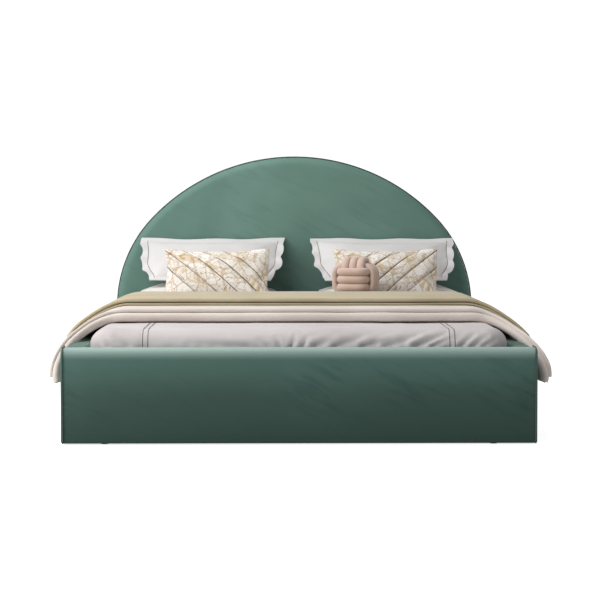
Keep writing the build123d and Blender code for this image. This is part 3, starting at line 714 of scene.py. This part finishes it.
def mattressRim(grow, count):
    # closed plan outline with the way out at each point
    mt = mattress
    r = mt["corner"] + grow
    xs, ys = mt["halfWidth"] - mt["corner"], (mt["foot"] + mt["corner"], mt["head"] - mt["corner"])
    line = []
    for centre, start in (((xs, ys[1]), 0), ((-xs, ys[1]), 90), ((-xs, ys[0]), 180), ((xs, ys[0]), 270)):
        for k in range(13):
            a = math.radians(start + 90 * k / 12)
            out = Vector((math.cos(a), math.sin(a), 0))
            line.append((Vector((*centre, 0)) + out * r, out))
    lengths = [0]
    for a, b in zip(line, line[1:] + line[:1]):
        lengths.append(lengths[-1] + (b[0] - a[0]).length)
    points, at = [], 0
    for i in range(count):
        far = lengths[-1] * i / count
        while lengths[at + 1] < far:
            at += 1
        t = (far - lengths[at]) / (lengths[at + 1] - lengths[at])
        a, b = line[at], line[(at + 1) % len(line)]
        points.append((a[0].lerp(b[0], t), a[1].lerp(b[1], t).normalized()))
    return points


def mattressPanel(name, top):
    mt = mattress
    count, rings = 320, 60
    rim, rimShare = mattressRim(-.001, count), mt["rimShare"]
    way = 1 if top else -1
    face = mt["top"] if top else mt["bottom"]
    seam = face - way * mt["panel"]

    def place(u, w):
        p, out = rim[round(u * count) % count]
        if w < rimShare:
            a = w / rimShare * math.pi / 2
            x, y = (p - out * mt["panel"] * (1 - math.cos(a))).xy
            z = lerp(seam, face, math.sin(a))
            full = 0
        else:
            t = (w - rimShare) / (1 - rimShare)
            start = p - out * mt["panel"]
            spine = Vector((0, min(max(start.y, mt["foot"] + mt["spine"]), mt["head"] - mt["spine"]), 0))
            x, y = start.lerp(spine, t).xy
            z = face
            full = smooth((start - Vector((x, y, 0))).length / mt["quiltEase"])
        line = max(bump((run % 1 - .5) / mt["quiltLine"])
                   for run in ((x + y) / mt["quilt"], (x - y) / mt["quilt"]))
        return x, y, z - way * mt["quiltDepth"] * full * line * (1 if top else .6)

    return clothPiece(name, count, rings, place, angle=0)


def mattressBorder():
    mt = mattress
    count, rows = 480, 24
    rim = mattressRim(0, count)
    low, high = mt["bottom"] + mt["panel"], mt["top"] - mt["panel"]

    def place(u, w):
        p, out = rim[round(u * count) % count]
        # two rows of stitching along the strip
        swell = mt["borderCrown"] * math.sin(math.pi * w)
        swell -= mt["stitchDepth"] * sum(bump((w - row) / mt["stitchWidth"]) for row in mt["stitchRows"])
        return *(p + out * swell).xy, lerp(low, high, w)

    return clothPiece("mattressBorder", count, rows, place, mt["borderWall"], angle=0)


def makeMattress():
    mt = mattress
    topPanel, bottomPanel = mattressPanel("mattressTop", True), mattressPanel("mattressBottom", False)
    border = mattressBorder()
    levels = (mt["bottom"] + mt["panel"], mt["top"] - mt["panel"])
    lines = [[(p.x, p.y, z) for p, _ in mattressRim(.001, 240)] for z in levels]
    welts = tubes("mattressWelts", lines, mt["welt"], True)
    for piece, node in ((topPanel, "mattress_top_panel"), (bottomPanel, "mattress_bottom_panel"),
                        (border, "mattress_border"), (welts, "mattress_welts")):
        smoothShade(piece, 80)
        finishPiece(piece, "mattress", "ticking", tickingFinish, node)


makeMattress()
print("mattress ready")


# duvet: a puffy cover over the mattress, its sides and foot tucked down inside the rails

duvet = {
    "halfWidth": .809,
    "front": -1.011,
    "head": .980,
    "hem": .302,
    "top": .4322,
    "cornerRadius": .10,
    "edgeRadius": .066,
    "wall": .020,
    "columns": 560,
    "rows": 80,
    # where the rows leave the side and the rounded edge, and how they gather over the top
    "sideShare": .35,
    "edgeShare": .6,
    "topPace": 1.25,
    # how far the cloth lies in, then its slow billows: reach, size, seed
    "sink": .0035,
    "billows": ((.0022, .19, 3), (.0014, .07, 6)),
    "seams": (-.5975, -.5775, .5755, .5955),
    "seamDepth": .007,
    "seamWidth": .0054,
    "cord": .0019,
    "creaseGain": 2.1,
    "creaseLimit": .0135,
    # creases on the foot side: start x and z, end x and z, width, depth
    "creases": [(.440, .366, .560, .412, .011, .0065), (.505, .364, .585, .400, .008, .004),
                (.330, .366, .452, .402, .013, .0045), (.245, .364, .352, .392, .012, .0045),
                (.140, .365, .236, .396, .014, .004), (.060, .366, .132, .392, .012, .0035),
                (.012, .364, .030, .404, .008, .004), (-.030, .364, -.016, .410, .007, .0045),
                (-.072, .364, -.088, .402, .008, .004), (-.12, .366, -.15, .394, .010, .003),
                (.615, .364, .668, .410, .009, .004), (.660, .364, .720, .402, .010, .0045),
                (.705, .366, .752, .392, .009, .004), (-.20, .366, -.42, .378, .012, .0022),
                (-.655, .366, -.700, .405, .012, .003), (-.73, .366, -.752, .40, .010, .004)],
}


def creaseDepth(x, z):
    total = 0
    for x0, z0, x1, z1, width, depth in duvet["creases"]:
        run = Vector((x1 - x0, z1 - z0))
        t = ((x - x0) * run.x + (z - z0) * run.y) / run.length_squared
        near = Vector((x0, z0)) + run * min(1, max(0, t))
        away = (Vector((x, z)) - near).length
        fade = 1 - .75 * smooth(t)
        if away < 3.2 * width:
            k = away / width
            total += depth * fade * (math.exp(-1.4 * k * k) - .5 * math.exp(-.9 * (k - 1.9) ** 2))
    return total


def duvetRim(share):
    # plan outline from the head's left end, down the side, across the foot and back up
    dv = duvet
    halfWidth, front, r = dv["halfWidth"], dv["front"], dv["cornerRadius"]
    straight, quarter = dv["head"] - front - r, math.pi / 2 * r
    total = 2 * straight + 2 * quarter + 2 * (halfWidth - r)
    mirrored = share * total > total / 2
    s = min(share * total, total - share * total)
    if s < straight:
        p, out = Vector((-halfWidth, dv["head"] - s)), Vector((-1, 0))
    elif s < straight + quarter:
        a = math.pi + (s - straight) / r
        out = Vector((math.cos(a), math.sin(a)))
        p = Vector((-halfWidth + r, front + r)) + out * r
    else:
        p, out = Vector((-halfWidth + r + (s - straight - quarter), front)), Vector((0, -1))
    if mirrored:
        p.x, out.x = -p.x, -out.x
    return p, out


def duvetShape():
    dv = duvet
    count, edge = dv["columns"], dv["edgeRadius"]
    drop = dv["top"] - dv["hem"] - edge
    first, second = dv["sideShare"], dv["edgeShare"]

    def place(u, w):
        # w climbs the side, rounds the top edge and then crosses the top to its middle line
        p, out = duvetRim(round(u * count) / count)
        if w < first:
            z, inward, turn = dv["hem"] + drop * w / first, 0.0, 0.0
        elif w < second:
            turn = (w - first) / (second - first) * math.pi / 2
            z, inward = dv["hem"] + drop + edge * math.sin(turn), edge * (1 - math.cos(turn))
        else:
            z, inward, turn = dv["top"], edge, math.pi / 2
        normal = Vector((out.x * math.cos(turn), out.y * math.cos(turn), math.sin(turn)))
        spot = p - out * inward
        if w >= second:
            start = spot
            spine = Vector((0, max(spot.y, dv["front"] + dv["halfWidth"])))
            spot = start.lerp(spine, ((w - second) / (1 - second)) ** dv["topPace"])
            inward += (start - spot).length
        x, y = spot
        puff = sum(reach * wander(x, y, z, size, seed) for reach, size, seed in dv["billows"]) - dv["sink"]
        puff += .0006 * smooth((z - .42) / .01)
        front = max(0, -out.y) * smooth((.09 - inward) / .06)
        if front > 0:
            puff -= min(dv["creaseLimit"], dv["creaseGain"] * creaseDepth(x, z)) * front
            puff -= .0016 * front * math.sin(x * 95 + 2 * math.sin(x * 17)) * smooth((.39 - z) / .03)
        if inward < .5 and out.y < -.5:
            for i, seam in enumerate(dv["seams"]):
                puff -= dv["seamDepth"] * bump((x - seam) / dv["seamWidth"])
                if i in (0, 2):
                    # small puckers beside the outer cord of each pair
                    puff -= .0018 * math.sin(z * 420 + y * 300 + i) * bump((x - seam + .012) / .012)
        return Vector((x, y, z)) + normal * puff

    return clothPiece("duvetCover", count, dv["rows"], place, dv["wall"], angle=80, reach=.0002)


def duvetSeams(cover):
    # paired cords sewn along both long seams, up the foot side and over the top
    tree = BVHTree.FromObject(cover, bpy.context.evaluated_depsgraph_get())
    bend = Vector((0, duvet["front"] + duvet["edgeRadius"], duvet["top"] - duvet["edgeRadius"]))
    ahead, down = Vector((0, 1, 0)), Vector((0, 0, -1))
    # where each cord is felt for, which way, and how far it stands off the cloth
    feel = [(Vector((0, -1.2, lerp(.312, .400, k / 59))), ahead, ahead * .0006) for k in range(60)]
    for k in range(12):
        a = (k + 1) / 13 * math.pi / 2
        way = Vector((0, math.cos(a), -math.sin(a)))
        feel.append((bend - way * .16, way, way * .0006))
    feel += [(Vector((0, lerp(-.938, .95, k / 149), .6)), down, down * -.0005) for k in range(150)]
    lines = []
    for x in duvet["seams"]:
        line = []
        for i, (start, way, off) in enumerate(feel):
            hit = tree.ray_cast(start + Vector((x, 0, 0)), way, .4)[0]
            onBend = 60 <= i < 72
            if hit and not (onBend and hit.z <= line[-1].z):
                line.append(hit + off)
        lines.append(line)
    return tubes("duvetCords", lines, duvet["cord"])


duvetCover = finishPiece(duvetShape(), "duvet", "duvet_cotton", duvetFinish, "duvet")
# the cords take the darker seam finish, as painted shade along the seams
finishPiece(duvetSeams(duvetCover), "duvet", "duvet_cotton", seamShadeFinish)
print("duvet ready")


# folded blanket and throw: each sheet follows a folded path along the bed and a drape across it

drape = {
    "flatHalf": .700,
    "base": .4336,
    "shoulderRadius": .26,
    "shoulderTurn": math.radians(40),
    "edgeRadius": .15,
    "edgeTurn": math.radians(50),
    "squeeze": .26,  # how much the layers press together on the slope
    "rightBulge": .016,
    "forward": .35,
    # from where, metres from the middle, and over what length each of these comes in
    "squeezeRun": (.70, .20),
    "bulgeRun": (.92, .14),
    "forwardRun": (.74, .36),
    "hangRun": (.72, .20),
    "columns": 220,
    "gather": .82,  # columns lie closer together towards the hanging ends
    "sag": .35,  # how much less a layer hangs down for each metre that it lies higher
}


def comeIn(s, run):
    return smooth((s - drape[run][0]) / drape[run][1])


def bends(lift):
    # radii of the shoulder and of the edge below it at this height, and the lengths of cloth round them
    dr = drape
    shoulder, edge = dr["shoulderRadius"] + lift, dr["edgeRadius"] + lift
    return shoulder, edge, shoulder * dr["shoulderTurn"], edge * dr["edgeTurn"]


def acrossBed(s, lift, tuck=0.0):
    # where the cloth is, s metres from the middle and this far above the underside, and its way out
    dr = drape
    side = -1 if s < 0 else 1
    s = abs(s)
    lift *= 1 - dr["squeeze"] * comeIn(s, "squeezeRun")
    shoulder, edge, roundShoulder, roundEdge = bends(lift)
    cx, cz, first = dr["flatHalf"], dr["base"] - dr["shoulderRadius"], dr["shoulderTurn"]
    past = s - cx
    if past < 0:
        x, z, turn = s, dr["base"] + lift, 0
    elif past < roundShoulder:
        turn = past / shoulder
        x, z = cx + shoulder * math.sin(turn), cz + shoulder * math.cos(turn)
    else:
        cx += (shoulder - edge) * math.sin(first)
        cz += (shoulder - edge) * math.cos(first)
        turn = first + min(past - roundShoulder, roundEdge) / edge
        x, z = cx + edge * math.sin(turn), cz + edge * math.cos(turn)
        down = past - roundShoulder - roundEdge
        if down > 0:
            x, z = x - tuck * down * down, z - down
            turn += 2 * tuck * down
    if side > 0:
        x += dr["rightBulge"] * comeIn(s, "bulgeRun")
    return Vector((side * x, 0, z)), Vector((side * math.sin(turn), 0, math.cos(turn)))


def swingAt(s, y, front, back):
    # how far the hanging corners swing towards the foot
    return drape["forward"] * comeIn(abs(s), "forwardRun") * (back - y) / (back - front)


def drapeLength(lift, drop):
    return drape["flatHalf"] + sum(bends(lift)[2:]) + drop


def foldedPath(layers, front, back, lift, thick, pitch, steps):
    # y and lift of a sheet folded to and fro, from its first hem at one end
    points = []
    y = {"front": front, "back": back}
    radius = pitch / 2
    for i, (start, end) in enumerate(layers):
        z = lift + thick / 2 + i * pitch
        a, b = y[start[0]] + start[1], y[end[0]] + end[1]
        points += [(lerp(a, b, k / steps), z) for k in range(steps + 1)]
        if i < len(layers) - 1:
            way = -1 if end[0] == "front" else 1
            for k in range(1, 12):
                t = k / 12 * math.pi
                points.append((b + way * radius * math.sin(t), z + radius * (1 - math.cos(t))))
    return points


def drapedSheet(name, path, halfSpan, thick, tuck, ripple, seed, swing=1.0):
    # halfSpan(lift) is half the cloth's width there; ripple is how far it strays
    count = len(path) - 1
    yFront, yBack = min(p[0] for p in path), max(p[0] for p in path)

    def place(u, w):
        y, lift = path[round(w * count)]
        share = 2 * u - 1
        s = math.copysign(abs(share) ** drape["gather"], share) * halfSpan(lift)
        spot, out = acrossBed(s, lift, tuck)
        hang = comeIn(abs(s), "hangRun")
        spot += out * ripple * (.6 + hang) * wander(s, y, lift * 4, .16, seed)
        spot.y = y + ripple * 1.3 * wander(s, seed, lift * 8, .21, seed + 2)
        spot.y += .0008 * math.sin(s * 140 + lift * 300) * hang - swing * swingAt(s, y, yFront, yBack)
        return spot

    piece = gridPiece(name, drape["columns"], count, place)
    thicken(piece, thick, 0)
    addModifier(piece, "BEVEL", width=thick * .28, segments=2, limit_method="ANGLE", angle_limit=1.1)
    smoothShade(piece)
    return piece


def pathLength(path):
    return sum(math.dist(a, b) for a, b in zip(path, path[1:]))


blanket = {
    "front": -.630,
    "tuck": 4.5,
    # fold, wall, setback, back edge, stagger of its two layers, drop, middle lift, steps, ripple, seed
    "lower": (.036, .0155, 0, .448, (-.012, -.004), .034, .018, 70, .0022, 4),
    "upper": (.018, .0082, .026, .235, (-.010, -.002), .014, .045, 60, .0016, 9),
}


def blanketFold(name, base, fold, wall, setback, back, stagger, drop, middle, steps, ripple, seed):
    # one sheet folded once, its fold at the front; returned with its flat size
    bl = blanket
    pitch = fold - wall
    near = ("front", setback + pitch / 2 + wall / 2)
    path = foldedPath([(("back", stagger[0]), near), (near, ("back", stagger[1]))],
                      bl["front"], back, base + .0006, wall, pitch, steps)
    piece = drapedSheet(name, path, lambda lift: drapeLength(lift, drop - lift * drape["sag"]), wall,
                        bl["tuck"], ripple, seed)
    return piece, (2 * drapeLength(middle, drop), pathLength(path))


lowerFold, lowerFlat = blanketFold("blanketLowerFold", 0, *blanket["lower"])
upperFold, upperFlat = blanketFold("blanketUpperFold", blanket["lower"][0], *blanket["upper"])
finishPiece(lowerFold, "blanket", "blanket_wool", blanketFinish, "blanket")
finishPiece(upperFold, "blanket", "blanket_wool", blanketFinish)

throw = {
    "front": -.415,
    "back": .235,
    "lift": .0580,
    "middle": .064,
    "pitch": .0102,
    "wall": .0072,
    "step": .012,
    "endTurn": math.radians(20),
    "swing": .35,
    "tufts": 52,
    "tuftLength": .021,
    "tuftRadius": .0018,
}


def throwReach(lift):
    # half the width of the layer at this height; each lies a step inside the one below
    th = throw
    _, edge, roundShoulder, _ = bends(lift)
    inward = th["step"] * (lift - th["lift"]) / th["pitch"]
    return drape["flatHalf"] + roundShoulder + edge * th["endTurn"] - inward


def throwSheet():
    th = throw
    near = th["pitch"] / 2 + th["wall"] / 2
    frontFold, backFold = ("front", near + th["step"]), ("back", -near)
    path = foldedPath([(("front", .004), backFold), (backFold, frontFold), (frontFold, ("back", -.020))],
                      th["front"], th["back"], th["lift"], th["wall"], th["pitch"], 46)
    return drapedSheet("throwSheet", path, throwReach, th["wall"], 0, .0014, 14, th["swing"]), path


def throwFringe():
    # short loose tufts along both hanging ends of each layer
    th = throw
    lines = []
    for layer in range(3):
        lift = th["lift"] + th["wall"] / 2 + th["pitch"] * layer
        reach = throwReach(lift) - .004
        for side in (-1, 1):
            for k in range(th["tufts"]):
                y = lerp(th["front"] + .012 + .008 * layer, th["back"] - .02, k / (th["tufts"] - 1))
                sway = .004 * wander(y, layer, side, .02, 21)
                long = th["tuftLength"] + .005 * wander(y, side, layer, .013, 22)
                line = []
                for t in (0, .35, .7, 1):
                    s = reach + long * t
                    spot, out = acrossBed(side * s, lift)
                    spot -= out * .0015 * t
                    spot.y = y + sway * t - th["swing"] * swingAt(s, y, th["front"], th["back"])
                    line.append(spot)
                lines.append(line)
    return tubes("throwFringe", lines, th["tuftRadius"], sides=1)


throwPiece, throwPath = throwSheet()
finishPiece(throwPiece, "throw", "throw_wool", throwFinish, "throw")
finishPiece(throwFringe(), "throw", "throw_wool", throwFinish)
2 * throwReach(throw["middle"])
pathLength(throwPath)
print("blanket and throw ready")


# pillows: each is blown up as cloth from a thin flat case, then laid where it belongs

stuffing = {
    "quality": 4,
    "mass": .25,
    "tension_stiffness": 14,
    "compression_stiffness": 14,
    "shear_stiffness": 6,
    "bending_stiffness": .25,
    "use_pressure": True,
}


def stuffCase(name, size, cells, pressure, cornerPull, stayWide):
    # lies flat about the origin, length across X
    length, width, thick = size

    def flat(u, w):
        x, y = 2 * u - 1, 2 * w - 1
        pull = cornerPull * (x * x * y * y)
        return x * length / 2 * (1 - pull * .5), y * width / 2 * (1 - pull), 0

    case = gridPiece(name, *cells, flat)
    thicken(case, .006, 0)
    cut = [v.co.copy() for v in case.data.vertices]
    cloth = case.modifiers.new("Cloth", "CLOTH")
    for key, value in stuffing.items():
        setattr(cloth.settings, key, value)
    cloth.settings.uniform_pressure_force = pressure
    cloth.settings.effector_weights.gravity = 0
    cloth.point_cache.frame_start, cloth.point_cache.frame_end = 1, 20
    for frameNow in range(1, 21):
        bpy.context.scene.frame_set(frameNow)
    selectOnly(case)
    bpy.ops.object.modifier_apply(modifier=cloth.name)
    bpy.context.scene.frame_set(1)
    for v, was in zip(case.data.vertices, cut):
        # a full pillow's seams draw in less than a bare bag's
        v.co.xy = v.co.xy.lerp(was.xy, stayWide)
    reach = [max(abs(v.co[k]) for v in case.data.vertices) for k in range(3)]
    room = (length / 2, width / 2, thick / 2)
    for v in case.data.vertices:
        v.co = [v.co[k] * room[k] / reach[k] for k in range(3)]
    addModifier(case, "SUBSURF", levels=1, render_levels=1)
    return case


def settle(piece, place, turn, about="X"):
    # turn, then move; the place ends up in the mesh
    piece.data.transform(Matrix.Translation(place) @ Matrix.Rotation(math.radians(turn), 4, about))


def restOn(piece, height, soft=.02):
    # flatten what would sink below the cloth that carries it
    for v in piece.data.vertices:
        if v.co.z < height + soft:
            v.co.z = height + soft * math.exp((v.co.z - height - soft) / soft)


def pressUnder(lower, upper, gap=.0012):
    # the lower pillow gives way under the one lying on it
    tree = BVHTree.FromObject(upper, bpy.context.evaluated_depsgraph_get())
    for v in lower.data.vertices:
        hit = tree.ray_cast(Vector((v.co.x, v.co.y, v.co.z - .25)), Vector((0, 0, 1)), .3)
        if hit[0] is not None and hit[0].z - gap < v.co.z:
            v.co.z = hit[0].z - gap


def drawIn(piece, size):
    # the lower part of a leaning sham folds in a little on itself
    for v in piece.data.vertices:
        low = smooth(-v.co.y / (size[1] / 2 + sham["border"]))
        v.co.x *= 1 - sham["drawIn"][0] * low
        v.co.y *= 1 - sham["drawIn"][1] * low


sham = {
    "border": .040,
    "drawIn": (.19, .20),
    "tuckIn": .016,
    "drawn": .013,
    "endDip": .016,
    "longDip": .010,
    "wall": .0036,
    "seam": .0014,
    # frill: reach of the waves and radians for each metre, on the ends and on the long sides
    "endFrill": (.0066, 43),
    "longFrill": (.0026, 22),
}


def flange(name, size, seed):
    # flat frilled border all round a sham, from inside the seam to its free edge
    sh = sham
    length, width, _ = size
    loop = []
    corners = [(-1, -1), (1, -1), (1, 1), (-1, 1)]
    for a, b in zip(corners, corners[1:] + corners[:1]):
        parts = 96 if a[1] == b[1] else 64
        loop += [(lerp(a[0], b[0], k / parts), lerp(a[1], b[1], k / parts)) for k in range(parts)]
    count = len(loop)
    run = 2 * (length + width) / count

    def place(u, w):
        i = round(u * count) % count
        x, y = loop[i]
        onEnd, onLong = abs(x) > .999, abs(y) > .999
        middle = 1 - (y * y if onEnd and not onLong else x * x)  # 0 at the corners, 1 half way along
        seam = Vector((x * length / 2, y * width / 2))
        way = Vector((x if onEnd else 0, y if onLong else 0))
        inner, outer = seam - way * (sh["drawn"] * middle + sh["tuckIn"]), seam + way * sh["border"]
        if not onEnd:
            outer.y -= way.y * sh["longDip"] * middle
        elif not onLong:
            outer.x -= way.x * sh["endDip"] * middle
        reach, pace = sh["endFrill"] if onEnd and not onLong else sh["longFrill"]
        amp = reach * smooth((w - .3) / .7)
        turn = i * run * pace + seed
        p = inner.lerp(outer, w) + way * amp * .8 * math.cos(turn)
        return p.x, p.y, amp * (math.sin(turn) + .4 * wander(i * run, seed, 0, .09))

    piece = clothPiece(name, count, 12, place, sh["wall"], 0, angle=0)
    # sewn seam between pad and flange, up both ends, drawn as a dark line of painted shade
    lines = []
    for end in (-1, 1):
        steps = sorted((i for i in range(count) if loop[i][0] == end), key=lambda i: loop[i][1])
        lines.append([Vector(place(i / count, .40)) + Vector((0, 0, .0024)) for i in steps])
    return piece, tubes(name + "Seam", lines, sh["seam"])


pillows = {
    # size, cells, pressure, pull of the corners, how much of the flat outline stays
    "lower": ((.680, .464, .110), (56, 40), 3.2, .03, .82),
    "sham": ((.640, .400, .128), (60, 40), 4.0, .04, .78),
    "cushion": ((.500, .300, .118), (64, 40), 4.5, .03, .60),
    "shamTilt": 27,
    "shamRise": .012,
    "cushionTilt": 66,
    "restHeight": .4337,
}


def boxMiddle(node):
    lowEnd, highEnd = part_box(node)
    return (lowEnd + highEnd) / 2


def layPillows():
    for side, sign in (("left", -1), ("right", 1)):
        word = side.title()
        # pillow that lies flat
        low = stuffCase("lowerPillow" + word, *pillows["lower"])
        settle(low, boxMiddle("lower_pillow_" + side), 0)
        restOn(low, pillows["restHeight"])
        # sham leaning back over it
        size = pillows["sham"][0]
        pad = stuffCase("sham" + word, *pillows["sham"])
        edge, seam = flange("shamFlange" + word, size, 3 if sign < 0 else 5)
        risen = boxMiddle("sham_" + side) + Vector((0, 0, pillows["shamRise"]))
        for piece in (pad, edge, seam):
            drawIn(piece, size)
            settle(piece, risen, pillows["shamTilt"])
        pressUnder(low, pad)
        pressUnder(low, edge)
        # small quilted cushion standing in front
        cushion = stuffCase("cushion" + word, *pillows["cushion"])
        addModifier(cushion, "SUBSURF", levels=1, render_levels=1)
        sewChannels(cushion, pillows["cushion"][0], -sign)
        settle(cushion, boxMiddle("cushion_" + side), pillows["cushionTilt"])
        restOn(cushion, pillows["restHeight"], .008)
        for piece, body, slotName, finish, fill in (
                (low, "lower_pillow_", "pillow_cotton", pillowFinish, .6),
                (pad, "sham_", "sham_cotton", shamFinish, .7),
                (cushion, "cushion_", "cushion_print", cushionFinishes[side], .8)):
            smoothShade(piece, 80)
            finishPiece(piece, body + side, slotName, finish, body + side)
        smoothShade(edge, 60)
        finishPiece(edge, "sham_" + side, "sham_cotton", shamFinish)
        # the seam line takes the darker seam finish, as painted shade
        finishPiece(seam, "sham_" + side, "sham_cotton", seamShadeFinish)


channels = {
    "count": 5,
    "pitch": .096,
    "slant": 48,
    "depth": .0055,
    "width": .006,
}


def sewChannels(piece, size, way):
    # sewn lines on a slant over the front of a cushion
    ch = channels
    a = math.radians(ch["slant"]) * way
    pitch = ch["pitch"] * math.cos(a)
    for v in piece.data.vertices:
        k = (v.co.x * math.cos(a) + v.co.y * math.sin(a)) / pitch
        if v.co.z > 0 and abs(round(k)) <= (ch["count"] - 1) / 2:
            away = (k - round(k)) * pitch
            rim = smooth((v.co.z / (size[2] / 2)) / .35)
            v.co.z -= ch["depth"] * rim * (bump(away / ch["width"]) + .45 * bump(away / .02))


def printFinish(name, way):
    # generic gilt print on ivory: torn patches, thin outlines and small dashes, with dark lines along the
    # sewn channels painted as their shade
    fin = Finish(name)
    own = fin.place((3.5, 2.1, 1), kind="UV")
    gilt = srgb(168, 132, 78)
    cells = {"Vector": own, "Scale": 2.1, "Detail": 1.4, "Roughness": .55, "Randomness": .85}
    rim = fin.node("ShaderNodeTexVoronoi", {"feature": "DISTANCE_TO_EDGE"}, cells)
    patches = fin.noise(own, 1.9, 3.0, .55, .9)
    tone = fin.layer(srgb(232, 229, 224), srgb(220, 213, 202), fin.noise(own, .9, 2.0), .4, .62)
    tone = fin.layer(tone, srgb(204, 183, 146), patches, .55, .60, .75)
    tone = fin.layer(tone, gilt, patches, .65, .69, .7)
    tone = fin.mix(fin.span(abs(patches - .46), .004, .014, 1.0, 0.0) * .8, tone, gilt)
    tone = fin.mix(fin.span(rim, .012, .04, 1.0, 0.0) * .45, tone, gilt)
    dashes = fin.noise(fin.place((22, 60, 1), kind="UV"), 1.5, 1.0)
    tone = fin.layer(tone, srgb(120, 98, 70), dashes, .63, .68, .6)
    # painted shade: dark lines drawn along the sewn channels, where their grooves fall in shade
    uv = fin.place(kind="UV")
    x, y = fin.axis(uv, 0) - .5, fin.axis(uv, 1) - .5
    length, width, _ = pillows["cushion"][0]
    a = math.radians(channels["slant"]) * way
    across = x * (length * math.cos(a)) + y * (width * math.sin(a))
    pitch = channels["pitch"] * math.cos(a)
    line = abs((across / pitch + .5).fract() - .5) * pitch
    inside = abs(across).below(pitch * (channels["count"] / 2))
    tone = fin.mix(fin.span(line, .0012, .0034, 1.0, 0.0) * inside * .8, tone, srgb(92, 70, 48))
    weave = fin.noise(fin.place(), 420.0, 2.0, .6)
    tone = fin.layer(tone, srgb(170, 160, 144), weave, .4, .75, .2)
    return fin.surface(colour=tone, rough=.7, normal=fin.bump(weave, .3, .0006), sheen=.15,
                       sheenRough=.4, sheenTint=(1, .97, .9), specular=.25)


cushionFinishes = {"left": printFinish("cushionPrintLeft", 1),
                   "right": printFinish("cushionPrintRight", -1)}
layPillows()
print("pillows ready")


# knot cushion: three bands of three stuffed strands, each band over one and under the other

knot = {
    "inner": .066,
    "outer": .0895,
    "strandWide": .0365,
    "strandThick": .0285,
    "pitch": .036,
    "square": 3.4,
    "turn": -16,
}


def strandLoop(name, axes, shift):
    # a ring is added, then pulled to a rounded rectangle with a plump oval section
    kn = knot
    ring, section = 96, 20
    bpy.ops.object.select_all(action="DESELECT")
    bpy.ops.mesh.primitive_torus_add(major_segments=ring, minor_segments=section,
                                     major_radius=1, minor_radius=.25)
    piece = bpy.context.object
    piece.name = piece.data.name = name
    for v in piece.data.vertices:
        flatR = math.hypot(v.co.x, v.co.y)
        major = math.atan2(v.co.y, v.co.x)
        minor = math.atan2(v.co.z / .25, (flatR - 1) / .25)
        c, s = math.cos(major), math.sin(major)
        e = 2 / kn["square"]
        x = math.copysign(abs(c) ** e, c) * kn["inner"]
        y = math.copysign(abs(s) ** e, s) * kn["outer"]
        out = Vector((math.copysign(abs(c) ** (2 - e), c) / kn["inner"],
                      math.copysign(abs(s) ** (2 - e), s) / kn["outer"], 0)).normalized()
        plump = 1 + .03 * wander(x, y, shift, .05, shift * 90)
        p = Vector((x, y, shift)) + out * (kn["strandThick"] / 2 * math.cos(minor) * plump)
        p.z += kn["strandWide"] / 2 * .985 * math.sin(minor) * plump
        v.co = getattr(p, axes)
    return piece


def tieKnot():
    kn = knot
    strands = [strandLoop(f"knotStrand{band}{i}", axes, (i - 1) * kn["pitch"])
               for band, axes in enumerate(("xyz", "zxy", "yzx")) for i in range(3)]
    bpy.ops.object.select_all(action="DESELECT")
    for piece in strands:
        piece.select_set(True)
    bpy.context.view_layer.objects.active = strands[0]
    bpy.ops.object.join()
    whole = bpy.context.object
    whole.name = whole.data.name = "knotCushion"
    settle(whole, boxMiddle("knot_cushion"), kn["turn"], "Z")
    smoothShade(whole, 80)
    return whole


knotFinish = weaveFinish("knotPlush", (208, 184, 172), (194, 168, 156), (300.0, 300.0),
                         320.0, .45, .9, .5)
knotCushion = finishPiece(tieKnot(), "knot_cushion", "knot_velvet", knotFinish, "knot_cushion")
print("knot ready")


# closing lines

bpy.context.view_layer.update()
